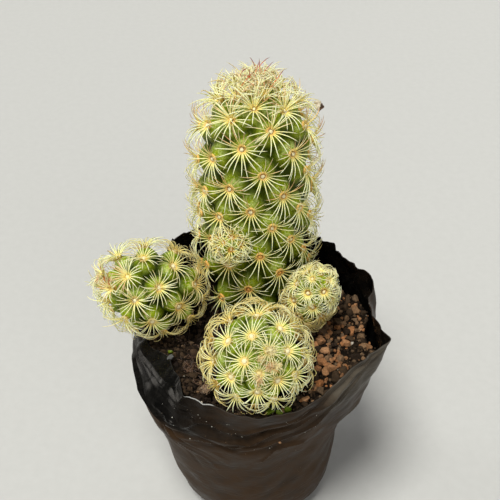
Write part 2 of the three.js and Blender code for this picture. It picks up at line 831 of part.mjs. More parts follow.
// Plain hole in the soil for a head: its profile grown by the gap
function holeSolid(head, grow) {
  const profile = [[0, head.profile[0][1] + grow]];
  for (let i = 2; i + 2 < head.profile.length; i += 2) {
    const [r0, h0] = head.profile[i - 1];
    const [r1, h1] = head.profile[i + 1];
    const span = Math.hypot(r1 - r0, h1 - h0);
    const [radius, height] = head.profile[i];
    profile.push([radius + (grow * (h0 - h1)) / span, height + (grow * (r1 - r0)) / span]);
  }
  const end = head.profile[head.profile.length - 2];
  const bottom = end[1] - HOLE_DEEPER - grow;
  profile.push([end[0] + grow, bottom], [0, bottom]);
  const outline = profile.reverse().map(([radius, height]) => new THREE.Vector2(radius, height));
  const geometry = new THREE.LatheGeometry(outline, HOLE_SIDES);
  geometry.rotateX(Math.PI / 2);
  const turn = new THREE.Quaternion().setFromUnitVectors(UP, head.axis);
  geometry.applyQuaternion(turn);
  geometry.translate(...head.origin.toArray());
  return toSolid(geometry);
}

// Grains that stand out of the soil, fused to it
function makeGrains() {
  const random = seededRandom(73);
  const grains = [];
  while (grains.length < GRAIN_COUNT) {
    const angle = random() * 360;
    const distance = Math.sqrt(random()) * GRAIN_REACH;
    const size = mix(1.2, 2, random());
    const [x, y] = around(angle, distance, 0);
    const place = new THREE.Vector3(x, y, soilHeight(x, y) - size * 0.1);
    const wall = insetRadius(bagProfile(angle), SOIL_LEVEL - 0.5, FILM + GAP);
    const free = heads.every((head) => distanceToHead(head, place) > size + 1.6)
      && grains.every((grain) => grain.place.distanceTo(place) > (size + grain.size) * 0.85)
      && distance < wall - size - 2.4;
    if (free) grains.push({ place, size, turn: random() * Math.PI, flat: mix(0.65, 0.95, random()) });
  }
  return grains.map((grain) => {
    const geometry = new THREE.IcosahedronGeometry(grain.size, 0);
    geometry.rotateX(grain.turn);
    geometry.rotateZ(grain.turn * 2.3);
    geometry.scale(1, grain.flat, mix(grain.flat, 1, 0.4));
    geometry.translate(...grain.place.toArray());
    return toSolid(geometry);
  });
}

function makeSoil() {
  let soil = joinAll([toSolid(makeSoilBody()), ...makeGrains()]);
  heads.forEach((head) => {
    soil = soil.subtract(holeSolid(head, GAP + PAD_HEIGHT));
  });
  return soil;
}

const pottedCactus = new THREE.Group();
pottedCactus.name = 'potted_thimble_cactus';
pottedCactus.add(namedMesh('bag', makeBag(), COLORS.film, 0.45));
pottedCactus.add(namedMesh('soil', toGeometry(makeSoil()), COLORS.soil, 0.95));
heads.forEach((head, i) => {
  const color = i === 0 ? COLORS.skin : COLORS.pupSkin;
  pottedCactus.add(namedMesh(head.spec.name, toGeometry(headSolids[i]), color, 0.6));
});

export default pottedCactus;
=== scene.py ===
"""Looks of the potted thimble cactus: tubercled heads, curved spines, wool, grit and a crinkled film bag.

Points are worked out in millimetres, in the part's own frame, and turned to metres when a mesh is made.
"""

import itertools
import json
import math

import bmesh
import bpy
import numpy as np
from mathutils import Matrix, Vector

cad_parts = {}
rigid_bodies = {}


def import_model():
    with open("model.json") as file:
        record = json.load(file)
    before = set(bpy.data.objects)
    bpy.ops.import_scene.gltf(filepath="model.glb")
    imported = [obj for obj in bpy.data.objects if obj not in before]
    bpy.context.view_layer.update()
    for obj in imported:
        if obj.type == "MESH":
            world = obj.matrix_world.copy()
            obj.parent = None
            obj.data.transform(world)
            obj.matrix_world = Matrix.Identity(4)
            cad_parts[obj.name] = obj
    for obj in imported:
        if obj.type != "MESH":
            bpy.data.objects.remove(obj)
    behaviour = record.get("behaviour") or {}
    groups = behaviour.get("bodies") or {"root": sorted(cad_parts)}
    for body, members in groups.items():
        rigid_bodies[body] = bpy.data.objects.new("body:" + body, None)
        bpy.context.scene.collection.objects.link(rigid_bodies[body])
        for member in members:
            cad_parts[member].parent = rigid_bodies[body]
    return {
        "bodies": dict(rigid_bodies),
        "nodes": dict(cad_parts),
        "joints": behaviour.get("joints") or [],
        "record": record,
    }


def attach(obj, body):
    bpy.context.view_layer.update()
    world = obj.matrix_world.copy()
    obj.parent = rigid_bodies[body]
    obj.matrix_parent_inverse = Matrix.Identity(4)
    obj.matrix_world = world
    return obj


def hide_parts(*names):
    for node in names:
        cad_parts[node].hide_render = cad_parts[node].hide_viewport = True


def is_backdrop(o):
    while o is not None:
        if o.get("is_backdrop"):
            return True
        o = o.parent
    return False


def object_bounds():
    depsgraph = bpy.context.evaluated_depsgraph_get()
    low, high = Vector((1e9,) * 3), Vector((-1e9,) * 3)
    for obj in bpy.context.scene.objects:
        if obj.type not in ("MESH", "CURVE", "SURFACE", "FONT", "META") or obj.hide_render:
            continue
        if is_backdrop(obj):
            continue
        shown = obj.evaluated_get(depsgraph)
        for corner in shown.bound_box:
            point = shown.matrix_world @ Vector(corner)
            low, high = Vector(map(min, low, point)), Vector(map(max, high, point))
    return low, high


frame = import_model()
cad_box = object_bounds()

MM = 0.001
BODY = "root"
UP = np.array([0.0, 0.0, 1.0])
GROUND_FRAME = (UP, np.array([1.0, 0, 0]), np.array([0, -1.0, 0]))
GOLDEN_ANGLE = math.radians(137.508)
ZERO = np.zeros(1)

# Spines and wool. A blocked spine is lifted by degrees or cut to a share of its length, in steps.
CONE_POWER = 1.25
SPINE_STEPS = 8
SPINE_SIDES = 4
BLOCKED_STEPS = ((14, 1), (14, 1), (0, 0.75), (0, 0.7))
HAIR_SIDES = 3
AREOLE_HAIRS = 14
TUFT_HAIRS = 60
LOOSE_TUFT_HAIRS = 110
HAIR_WIDTH = 0.045
TUFT_HAIR_WIDTH = 0.085
COLLAR_AROUND = 12
COLLAR_ABOUT = 5

# Bag and soil, as in the frame
SOIL_LEVEL = 56.0
BASE_RADIUS = 15.0
FILM = 0.28
BAND_BULGE = 0.3
BODY_TO_CREASE = 0.35

# Free edge of the film: angle in degrees from +X towards +Y, distance from the axis, height
RIM = [
    (0, 28.8, 66), (7, 30.2, 66.6), (17, 30.4, 67), (34, 29.2, 67.5), (48, 30.2, 67), (70, 32.2, 65.5),
    (93, 33.2, 66), (115, 33.2, 67.5), (132, 32, 68.5), (146, 31.8, 63.5), (159, 32.4, 57.4), (172, 31.8, 56),
    (190, 28.6, 56), (208, 25.2, 57), (222, 26.4, 57.2), (235, 30, 57), (248, 29.6, 57.2), (265, 31.6, 56.8),
    (284, 31.2, 57.6), (298, 30.6, 59), (314, 30.8, 61), (328, 32, 63), (338.4, 35, 64.5), (343, 32.2, 65),
    (350, 29.6, 65.5),
]

# Crease below the rim where the film turns in to the body
CREASE = [
    (0, 31.6, 53), (48, 32, 52), (93, 33, 52), (132, 32.6, 53), (168, 32.8, 50.5), (190, 32.5, 49.5),
    (210, 33, 49.5), (230, 31.6, 47.5), (262, 29.6, 45.5), (300, 28.4, 45.5), (326, 30.6, 49),
    (340, 33.2, 54),
]

# Body of the bag from the base up: distance from the axis and height
BAG_BODY = [(BASE_RADIUS, 0), (18.6, 1.4), (21.2, 5), (22.9, 12), (23.8, 21), (25.9, 32), (28.6, 40)]
BODY_SWAY = {"shift": 1.7, "towards": 186, "oval": 0.8, "oval_angle": 40, "grow_height": 24}

# Slanting folds of the slack film: angle at mid height, lean in degrees per mm of height,
# width in degrees, depth, height of the middle, reach up and down
FOLDS = [
    (198, 0.7, 12, 1.1, 50, 9), (226, -0.9, 12, -0.9, 47, 8), (248, 0.8, 13, 1.2, 41, 14),
    (283, -0.7, 12, 1.0, 38, 16), (312, 0.9, 12, 1.3, 44, 14), (352, -0.5, 13, 1.2, 47, 15),
    (28, 0.6, 13, 1.1, 50, 16), (62, -0.6, 13, -0.8, 34, 16), (104, 0.5, 13, 1.2, 48, 18),
    (146, -0.6, 13, 1.1, 40, 15), (172, 0.4, 12, -0.8, 26, 14), (268, 0.4, 13, -0.7, 17, 12),
    (12, -0.4, 13, -0.7, 18, 12), (120, 0.3, 14, -0.6, 16, 11),
]

# Sharp creases of the film: points (angle, height) along the line, size, width above and below it
CREASE_LINES = [
    ([(216, 49.3), (224, 48.3), (228, 47.2), (234, 48.6)], 0.5, 1.0, 0.6),
    ([(234, 47.4), (242, 51.0), (248, 51.8), (256, 49.0)], 1.0, 1.6, 1.0),
    ([(322, 58), (305, 56), (290, 50.9), (278, 49), (266, 45.2), (243, 44.2), (228, 42)], 0.8, 1.6, 1.0),
    ([(306, 57.4), (294, 55.7), (284, 53.4), (275, 51.9), (262, 49.2), (250, 49.0)], 0.55, 0.9, 1.6),
    ([(302, 58.0), (289, 53.9), (282, 51.4), (272, 49.0), (258, 46.6)], -0.55, 0.8, 1.2),
    ([(318, 52.6), (300, 48.6), (284, 45.6), (268, 43.2), (250, 42.6)], 0.7, 1.2, 1.6),
    ([(246, 43.0), (257, 41.5), (263, 43.2), (269, 43.7), (274, 45.4)], -0.6, 0.9, 1.1),
    ([(268, 35.0), (273, 36.0), (279, 40.8), (288, 41.5), (300, 40.0)], 0.6, 1.3, 0.9),
]

# Fold lines of the flat-pressed band at the left front, from the lowest up. Each has its share of the way
# from the crease to the rim elsewhere, and at the band's angles its height and how far it stands out.
BAND_ANGLES = (182, 192, 200, 205, 209, 217, 225, 233, 242)
BAND_FADE = 9
BAND_LINES = [
    (-0.3, (47.6, 48.4, 48.0, 47.8, 47.2, 45.2, 43.2, 44.2, 44.4),
     (-0.5, -0.6, -0.6, -0.6, -0.6, -0.6, -0.5, -0.5, -0.4)),
    (-0.03, (50.0, 50.5, 50.1, 49.8, 49.3, 47.2, 45.2, 46.2, 46.6),
     (0.7, 0.8, 0.9, 0.9, 0.9, 1.0, 1.0, 0.8, 0.5)),
    (0.03, (50.7, 51.2, 50.8, 50.5, 50.0, 47.9, 46.0, 47.0, 47.4),
     (0.1, -0.1, -0.1, -0.1, -0.1, 0, 0.3, 0.3, 0.2)),
    (0.08, (51.1, 51.6, 51.2, 50.9, 50.5, 48.6, 46.7, 47.7, 48.2),
     (0.7, 0.48, 0.18, 0, -0.05, 0.25, 0.6, 0.8, 0.4)),
    (0.34, (52.4, 52.6, 52.5, 52.4, 52.4, 52.2, 51.7, 51.5, 52.2),
     (0.1, 0.1, 0.1, 0.1, 0, -0.3, -0.5, -0.3, 0.1)),
    (0.38, (52.7, 52.9, 52.8, 52.7, 52.7, 52.6, 52.2, 52.0, 52.6),
     (0.9, 0.75, 0.55, 0.43, 0.39, 0.6, 1.0, 1.0, 0.4)),
    (0.49, (53.5, 53.7, 53.6, 53.6, 53.6, 53.8, 53.7, 53.5, 53.6),
     (0.5, 0.5, 0.5, 0.5, 0.45, 0.2, 0.1, 0.2, 0.3)),
    (0.54, (53.9, 54.1, 54.0, 54.0, 54.0, 54.2, 54.2, 54.0, 54.0),
     (1.4, 1.45, 1.3, 1.18, 1.14, 1.3, 1.5, 1.2, 0.5)),
    (0.62, (54.6, 54.8, 54.8, 54.8, 54.8, 55.2, 55.3, 55.0, 54.8),
     (1.0, 1.2, 1.25, 1.25, 1.25, 1.2, 1.1, 0.9, 0.5)),
    (0.65, (54.9, 55.1, 55.1, 55.1, 55.1, 55.5, 55.6, 55.3, 55.1),
     (1.2, 1.5, 1.6, 1.6, 1.6, 1.5, 1.4, 1.1, 0.5)),
    (0.68, (55.2, 55.4, 55.4, 55.4, 55.4, 55.8, 55.9, 55.6, 55.4),
     (1.0, 1.2, 1.25, 1.25, 1.25, 1.2, 1.1, 0.9, 0.4)),
]
OUTER_FOLD = {"from": 234, "to": 272, "size": 0.9, "above": 3.2, "below": 1.3}

# Fans of tension creases: corner of the rim, the angle they run to, and the heights there, count
CREASE_FANS = [
    ((339, 63.6), 262, 38, 52, 10), ((339, 63.6), 380, 38, 58, 6), ((130, 67), 66, 36, 58, 8),
    ((130, 67), 178, 34, 50, 7), ((24, 66), 64, 34, 54, 6), ((210, 50), 262, 22, 42, 6),
    ((210, 50), 160, 20, 42, 6), ((90, 52), 30, 8, 36, 6), ((90, 52), 150, 6, 34, 6),
]

# Steps of the torn edge at the back right: angle and height above the plain rim
TORN_EDGE = [
    (0, 0), (5.2, -0.6), (6.4, 0.9), (14, 0.4), (20.5, -0.3), (25.8, -1.5), (27, -0.4), (32.6, -0.4),
    (43.6, -1.5), (44.8, 0.4), (53, -0.1),
]

# The film's grid: the rows are shared out between its control points from the base up
FILM_COLUMNS = 372
FILM_ROWS = 150
FILM_ROW_SHARES = [3, 5, 12, 14, 16, 16, 16, 10, 3, 3, 11, 3, 7, 3, 7, 2, 2, 16]
ROUNDING_PASSES = 3
BASE_RINGS = 4
INNER_SPACER = 0.6
INNER_STEP = 4
SHARP_CREASE = math.radians(20)

# Places on the film, as angles, and the distance from the axis at which its noise is read
BAND_MIDDLE = 212
BAND_BOTTOM = 42
WHITE_EDGE_ANGLE = 242
PAINTED_SHEEN_ANGLE = 322
NOISE_RADIUS = 30

# Bits that cling to the film: angle, height, size, hue
CLINGING_BITS = [
    (230.6, 50.8, 0.24, 0.93), (233, 53.3, 0.24, 1), (229.3, 48.9, 0.2, 1), (281, 44.4, 0.5, 0.93),
    (263, 48, 0.18, 1), (276, 50.4, 0.18, 1), (276.2, 41.8, 0.2, 1), (262, 44, 0.18, 1),
]

# Dried flower scrap on a reddish spine at the stem's right shoulder: offset, size, thickness and hue a lump
SCRAP_PLACE = (14.5, 17.0, 112.1)
SCRAP_LUMPS = [
    ((0, 0, 0), 0.92, 0.6, 0.0), ((0.5, 0.1, -0.75), 0.7, 0.8, 0.7), ((-0.35, 0.2, 0.55), 0.76, 0.5, 0.05),
    ((0.75, -0.1, 0.15), 0.52, 0.7, 0.95), ((0.1, -0.3, -1.3), 0.42, 0.6, 0.9),
]

# Tufts of dry wool at the pups' apexes: turn round the axis, distance from the apex, size, hue
FRONT_TUFTS = [
    (0.4, 0.5, 1.4, 0.46), (1.3, 3.4, 1.35, 0.1), (2.1, 2.3, 1.2, 0.3), (4.0, 3.4, 1.3, 0.4),
    (6.2, 2.0, 1.25, 0.18),
]
LEFT_TUFTS = [(0.8, 0.6, 0.6, 0.62), (3.4, 1.5, 0.6, 0.85), (5.2, 1.4, 0.5, 0.5)]

# Places of the loose bits on the soil
LOOSE_TUFT = (-12.2, -24.1, 59.0)
GREEN_BITS = [(-21.8, -10.0, 57.1), (2.9, -30.1, 57.5), (5.0, -30.4, 57.5), (7.1, -29.5, 57.5)]
GREY_FLAKE = (-21.6, -11.7, 57.0)
FIBRE_HEAP = (-16.2, -13.1)
FIBRES = 240

# Grains on the soil: name, how many, sizes, how finely each is cut, and which kind it is
GRAINS = [
    ("soil_grit", 150, (0.75, 1.3), 3, "coarse"),
    ("soil_lumps", 850, (0.36, 0.74), 2, "middling"),
    ("soil_crumbs", 1700, (0.17, 0.38), 1, "fine"),
]
GRAIN_CUTS = 9
SCATTER_REACH = 31
SCATTER_TRIES = 30
SHARP_GRAIN = math.radians(34)
GROUND_COLUMNS = 180
GROUND_RINGS = 50

# Skins: bright and plain colour, the colour of the painted shade in the gaps, the sheen colour painted on
# upward-facing skin, and where on the valley scale that painted shade begins and is full
STEM_SKIN = ((0.27, 0.33, 0.012), (0.15, 0.21, 0.003), (0.035, 0.056, 0.001), (0.5, 0.6, 0.2), 0.4, 0.98)
PUP_SKIN = ((0.35, 0.44, 0.014), (0.15, 0.24, 0.004), (0.014, 0.028, 0.0008), (0.6, 0.7, 0.24), 0.3, 0.9)
# Painted sheen colour for the lit film at the right front corner
PAINTED_SHEEN_GREY = (0.1, 0.088, 0.07)

# Cactus heads, as in the frame. Each row has a value for the main stem, the left, front, right and tiny head.
# First the form and its areoles, then the spines, then the wool.
HEAD_TABLE = {
    "name": ("main_stem", "pup_left", "pup_front", "pup_right", "pup_tiny"),
    "seed": (11, 23, 31, 47, 59),
    "origin": ((-0.5, 15.9, SOIL_LEVEL), (-26.3, 2.5, 67.6), (0, -18.1, 63.6), (13.3, -0.2, 66.6),
               (-6.6, 3.4, 81)),
    "axis": ((-0.003, 0.0445, 1), (-0.653, -0.493, 0.574), (0.173, -0.808, 0.562), (0.26, -0.25, 0.92),
             (-0.35, -0.8, 0.45)),
    "radius": (14, 10.9, 11.2, 5.6, 3.4),
    "bare_length": (21, 6, 7, 6, 3),
    "columns": (248, 176, 176, 120, 70),
    "rows": (214, 120, 120, 96, 50),
    "cone": (0.43, 0.56, 0.56, 0.45, 0.36),
    "start_angle": (math.radians(18.9), 5.618, 6.135, 1.2, 2.1),
    "young_power": (1.3, 1.19, 1.42, 1.15, 1.1),
    "mature_spacing": (6.5, 6, 6, 4, 2.4),
    "young_reach": ((3, 10.5), (3, 9), (1, 4.4), (1.5, 5), (0.5, 2)),
    "spine_count": (20, 21, 23, 24, 13),
    "young_count_share": (0.78, 1.2, 1.1, 0.9, 0.9),
    "bud_count": (0.3, 0.6, 0.6, 0.6, 0.6),
    "rim_count": (0.82, 1.2, 1, 1, 1),
    "grown_at": (5, 3, 2, 2, 1),
    "near_reach": (12, 7, 4, 4, 2),
    "spine_radius": (0.155, 0.137, 0.145, 0.14, 0.13),
    "young_thick": (1.3, 1.25, 1, 1, 1),
    "rim_thick": (0.94, 0.72, 1, 0.9, 1),
    "spine_length": (6.2, 5.1, 5.1, 4.0, 4.3),
    "young_length": (1.2, 1.1, 0.5, 0.75, 0.8),
    "bud_length": (0.42, 0.6, 0.9, 0.6, 0.7),
    "rim_length": (1, 1.2, 1.62, 1.15, 1),
    "spine_lean": ((42, -12), (50, -24), (50, -24), (52, -40), (66, -60)),
    "rim_lean": ((42, -12), (58, -62), (62, -66), (62, -50), (66, -60)),
    "young_rise": (12, 16, 20, 10, 6),
    "young_upper": (22, 24, 12, 10, 0),
    "upper_rise": (16, 8, 8, 4, 0),
    "young_curl": (0, 14, 0, 10, 0),
    "young_pull": (0.25, 0.25, 0.1, 0.15, 0),
    "drift": (0.15, 0.15, 0.15, 0.45, 0.9),
    "rim_drift": (0.15, 0.6, 0.75, 0.8, 0.9),
    "tan_spread": (0.12, 0.12, 0.12, 0.3, 0.25),
    "age_tan": (0.15, 0.9, 1.0, 0.9, 0),
    "young_tan": (0.04, 0.15, 0.2, 0.15, 0),
    "reddish_share": (0.06, 0.2, 0.05, 0, 0),
    "dark_tips": (34, 5, 0, 0, 0),
    "crown_spines": (16, 7, 0, 0, 0),
    "centrals": ((9, 1.45), (6, 1.6), (1, 0), (1, 0), (1, 0)),
    "central_length": (6.2, 3.2, 0, 0, 0),
    "pad": (0.46, 0.52, 0.6, 0.5, 0.3),
    "young_wool": (0.8, 1.1, 1.2, 1, 0.9),
    "wool_fades": (0.4, 0.75, 0.7, 0.5, 0.8),
    "young_fluff": (0.05, 0.2, 0.42, 0.2, 0.1),
    "collar": (1, 0.85, 0.85, 0.5, 0.32),
    "collar_hue": (0.64, 0.3, 0.27, 0.3, 0.2),
}

# Form of the heads but the main stem
GLOBE_TABLE = {
    "half_length": (14, 12.2, 10.2, 3.8),
    "neck_radius": (4, 4.2, 3, 1.6),
    "neck_length": (1.6, 2.5, 3, 1.4),
    "full_count": (33.9, 35.4, 34, 18),
    "cover_share": (0.96, 0.96, 0.95, 0.85),
}

# Form of the main stem, and the spiral of its areoles
COLUMN_FORM = {
    "apex": 59.6, "shoulder": 45.9, "dome_power": 1.02, "bulge": 0.7, "base_taper": 0.6, "root_radius": 10.5,
    "root_depth": 8, "count": 96, "young_count": 22, "shoulder_index": 10.6, "shoulder_drop": 12.08,
    "divergence": math.radians(137.577), "rise": 1.295, "rise_span": 65, "rise_bend": -1.299,
    "rise_twist": 0.81,
}

# Studio: the world's colours, and each light's name, direction, width in degrees, power and colour
HORIZON = (0.4, 0.4, 0.39)
OVERHEAD = (0.11, 0.11, 0.105)
LIGHTS = [
    ("top", (-0.22, -0.3, 1), 22, 3.45, (1.0, 0.995, 0.93)),
    ("left", (-1, 0.28, 0.36), 18, 0.6, (1.0, 1.0, 0.98)),
    ("front", (0.4, -1, 0.55), 40, 0.65, (1.0, 0.99, 0.95)),
    ("back", (0.5, 1, 0.6), 40, 0.3, (1.0, 1.0, 0.98)),
]
FLOOR_HALF = 40.0
CAMERA_PLACE = (-0.001786, -0.17193, 0.21619)
CAMERA_TILT = math.radians(52)
CAMERA_LENS = 64.8
SENSOR_WIDTH = 36


# Numbers and noise

def mix(a, b, share):
    return a + (b - a) * share


def smooth(share):
    share = np.clip(share, 0, 1)
    return share * share * (3 - 2 * share)


def unit(vectors):
    vectors = np.asarray(vectors, float)
    return vectors / np.maximum(np.linalg.norm(vectors, axis=-1, keepdims=True), 1e-9)


def seeded_random(seed):
    """The frame's own random numbers, from 0 to 1."""
    state = seed
    whole = 0xFFFFFFFF
    while True:
        state = (state + 0x6D2B79F5) & whole
        value = ((state ^ (state >> 15)) * (1 | state)) & whole
        value = ((value + (((value ^ (value >> 7)) * (61 | value)) & whole)) & whole) ^ value
        yield ((value ^ (value >> 14)) & whole) / 4294967296


def lattice_value(cells, seed):
    """A fixed random number from -1 to 1 for each whole-number cell."""
    mixed = cells[..., 0] * 73856093 + cells[..., 1] * 19349663 + cells[..., 2] * 83492791 + seed * 97531
    mixed = (mixed ^ (mixed >> 13)) & 0xFFFFFFF
    mixed = (mixed * 1274126177) & 0xFFFFFFFFFF
    mixed = mixed ^ (mixed >> 17)
    return (mixed & 0xFFFF) / 32767.5 - 1


def noise(points, size, seed):
    """Smooth noise from -1 to 1, with lumps about as wide as size."""
    scaled = np.asarray(points, float) / size
    cell = np.floor(scaled).astype(np.int64)
    part = smooth(scaled - cell)
    total = 0
    for corner in itertools.product((0, 1), repeat=3):
        weight = np.prod(np.where(corner, part, 1 - part), axis=-1)
        total = total + weight * lattice_value(cell + np.array(corner), seed)
    return total


def shoves(points, size, seed):
    """Three noises a point, to push it about."""
    return np.stack([noise(points, size, seed + k) for k in range(3)], -1)


def toward(turn, first, second):
    """Directions at turns from a first axis towards a second one."""
    return np.cos(turn)[..., None] * first + np.sin(turn)[..., None] * second


def ring_points(radius, angle, height):
    """Points at distances from the axis, angles in degrees and heights."""
    turn = np.radians(angle)
    return np.stack(np.broadcast_arrays(radius * np.cos(turn), radius * np.sin(turn), height), -1)


def angle_of(points):
    return np.degrees(np.arctan2(points[..., 1], points[..., 0]))


def nearest_distance(points, places):
    distance = np.full(len(points), np.inf)
    for place in places:
        distance = np.minimum(distance, np.linalg.norm(points - place, axis=1))
    return distance


def spread(values, points):
    """One number a point, from one number for each of the equal copies that make up the points."""
    return np.repeat(values, len(points) // len(values))


# Meshes

def add_mesh(name, points, faces, material, **values):
    """A smooth mesh from points in millimetres, with one number a point for each named value."""
    mesh = bpy.data.meshes.new(name)
    mesh.from_pydata((np.asarray(points) * MM).tolist(), [], faces)
    mesh.shade_smooth()
    for value_name, numbers in values.items():
        attribute = mesh.attributes.new(value_name, "FLOAT", "POINT")
        attribute.data.foreach_set("value", np.asarray(numbers, np.float32))
    mesh.materials.append(material)
    obj = bpy.data.objects.new(name, mesh)
    bpy.context.collection.objects.link(obj)
    return obj


def finish_piece(obj, node, slot):
    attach(obj, BODY)
    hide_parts(node)


def grid_faces(rows, columns):
    """Quads of a grid that closes on itself across its columns."""
    row, column = np.meshgrid(np.arange(rows - 1) * columns, np.arange(columns), indexing="ij")
    after = (column + 1) % columns
    corners = (row + column, row + after, row + columns + after, row + columns + column)
    return np.stack(corners, -1).reshape(-1, 4).tolist()


def fan_faces(pole, ring_start, columns, flip):
    """Triangles from a pole to a ring of points."""
    ring = [ring_start + i for i in range(columns)]
    pairs = zip(ring, ring[1:] + ring[:1])
    return [(pole, b, a) if flip else (pole, a, b) for a, b in pairs]


def repeat_faces(faces, count, each):
    """One shape's faces for many copies of it, with each points a copy."""
    faces = np.asarray(faces)
    first = np.arange(count)[:, None, None] * each
    return (faces[None] + first).reshape(-1, faces.shape[-1]).tolist()


def tubes(paths, widths, side, sides):
    """Closed tapering tubes along paths of shape (tube, point, 3): points and faces."""
    count, steps, _ = paths.shape
    widths = np.broadcast_to(widths, (count, steps))
    along = unit(np.gradient(paths, axis=1))
    u = unit(side[:, None] - np.sum(side[:, None] * along, -1, keepdims=True) * along)
    v = np.cross(along, u)
    turn = 2 * np.pi * np.arange(sides) / sides
    rim = toward(turn, u[:, :-1, None], v[:, :-1, None])
    rings = paths[:, :-1, None] + widths[:, :-1, None, None] * rim
    points = np.concatenate([rings.reshape(count, -1, 3), paths[:, -1:]], axis=1)
    each = points.shape[1]
    last = (steps - 2) * sides + np.arange(sides)
    tips = np.stack([last, np.roll(last, -1), np.full(sides, each - 1)], -1)
    roots = np.arange(sides)[None, ::-1]
    faces = []
    for part in (grid_faces(steps - 1, sides), tips, roots):
        faces += repeat_faces(part, count, each)
    return points.reshape(-1, 3), faces


def tube_share(steps, sides):
    """How far along a tube each of its points is, from 0 to 1."""
    return np.append(np.repeat(np.linspace(0, 1, steps)[:-1], sides), 1)


def join_parts(*parts):
    """Several (points, faces, values) as one."""
    points, faces, values = [], [], []
    first = 0
    for part_points, part_faces, part_values in parts:
        points.append(part_points)
        faces += [[corner + first for corner in face] for face in part_faces]
        values.append(part_values)
        first += len(part_points)
    return np.concatenate(points), faces, np.concatenate(values)


def ball(subdivisions):
    """Points and triangles of a unit ball."""
    shape = bmesh.new()
    bmesh.ops.create_icosphere(shape, subdivisions=subdivisions, radius=1)
    points = np.array([vertex.co for vertex in shape.verts])
    faces = np.array([[vertex.index for vertex in face.verts] for face in shape.faces])
    shape.free()
    return points, faces


def lumps(places, sizes, flats, subdivisions, seed):
    """Angular grains: one ball cut by random planes at each place. Returns points and faces."""
    places, sizes, flats = [np.asarray(values, float) for values in (places, sizes, flats)]
    base, faces = ball(subdivisions)
    random = np.random.default_rng(seed)
    count = len(places)
    planes = unit(random.normal(size=(count, GRAIN_CUTS, 3)))
    reach = random.uniform(0.4, 0.82, (count, 1, GRAIN_CUTS))
    facing = np.maximum(np.einsum("vj,nkj->nvk", base, planes), 0.001)
    shape = base[None] * np.minimum(1, (reach / facing).min(axis=-1))[..., None]
    shift = random.uniform(-50, 50, (count, 1, 3))
    shape = shape * (1 + 0.09 * noise(base[None] * 2.6 + shift, 1, seed))[..., None]
    shape = shape * np.stack([np.ones(count), flats, 0.5 + 0.5 * flats], -1)[:, None]
    turns = unit(random.normal(size=(count, 4)))
    w, x, y, z = turns.T
    rotation = np.stack([
        1 - 2 * (y * y + z * z), 2 * (x * y - z * w), 2 * (x * z + y * w),
        2 * (x * y + z * w), 1 - 2 * (x * x + z * z), 2 * (y * z - x * w),
        2 * (x * z - y * w), 2 * (y * z + x * w), 1 - 2 * (x * x + y * y),
    ], -1).reshape(count, 3, 3)
    shape = np.einsum("nij,nvj->nvi", rotation, shape) * 1.32 * sizes[:, None, None] + places[:, None]
    return shape.reshape(-1, 3), repeat_faces(faces, count, len(base))


# Materials

class Shader:
    """A procedural material: its Principled shader and short calls for the nodes used here."""

    def __init__(self, name, **constants):
        self.material = bpy.data.materials.new(name)
        self.material.use_nodes = True
        self.tree = self.material.node_tree
        self.principled = self.tree.nodes["Principled BSDF"]
        for socket, value in constants.items():
            self.principled.inputs[socket.replace("_", " ")].default_value = value
        self.place = self.tree.nodes.new("ShaderNodeTexCoord").outputs["Object"]

    def node(self, kind, inputs, output=0, **settings):
        made = self.tree.nodes.new("ShaderNode" + kind)
        for key, value in settings.items():
            setattr(made, key, value)
        for socket, value in inputs.items():
            self.put(value, made.inputs[socket])
        return made.outputs[output]

    def put(self, value, socket):
        if isinstance(value, bpy.types.NodeSocket):
            self.tree.links.new(value, socket)
        else:
            socket.default_value = value

    def set(self, socket, value):
        self.put(value, self.principled.inputs[socket])

    def value(self, name):
        return self.node("Attribute", {}, "Fac", attribute_name=name)

    def stretched(self, scale):
        return self.node("Mapping", {"Vector": self.place, "Scale": scale})

    def noise(self, size, detail=4.0, rough=0.55, distortion=0.0, place=None):
        """Noise from 0 to 1, with lumps about as wide as size in millimetres."""
        inputs = {"Vector": place or self.place, "Scale": 1 / (size * MM), "Detail": detail}
        inputs.update({"Roughness": rough, "Distortion": distortion})
        return self.node("TexNoise", inputs, "Fac")

    def cells(self, size):
        """Distance to the nearest of scattered dots, about size in millimetres apart."""
        return self.node("TexVoronoi", {"Vector": self.place, "Scale": 1 / (size * MM)}, "Distance")

    def math(self, operation, a, b=0.0):
        return self.node("Math", {0: a, 1: b}, operation=operation)

    def times(self, a, b):
        return self.math("MULTIPLY", a, b)

    def span(self, value, low, high, to_low=0.0, to_high=1.0):
        inputs = {"Value": value, "From Min": low, "From Max": high, "To Min": to_low, "To Max": to_high}
        return self.node("MapRange", inputs, "Result")

    def ramp(self, value, stops):
        made = self.tree.nodes.new("ShaderNodeValToRGB")
        elements = made.color_ramp.elements
        while len(elements) < len(stops):
            elements.new(0.5)
        for element, (position, colour) in zip(elements, stops):
            element.position = position
            element.color = (*colour, 1)
        self.put(value, made.inputs["Fac"])
        return made.outputs["Color"]

    def mix(self, share, a, b):
        made = self.tree.nodes.new("ShaderNodeMix")
        made.data_type = "RGBA"
        self.put(share, made.inputs[0])
        for value, socket in ((a, made.inputs[6]), (b, made.inputs[7])):
            self.put((*value, 1) if isinstance(value, tuple) else value, socket)
        return made.outputs[2]

    def bump(self, height, distance, strength=1.0, under=None):
        """Raises the surface by height times distance in millimetres."""
        inputs = {"Height": height, "Distance": distance * MM, "Strength": strength}
        if under is not None:
            inputs["Normal"] = under
        return self.node("Bump", inputs, "Normal")


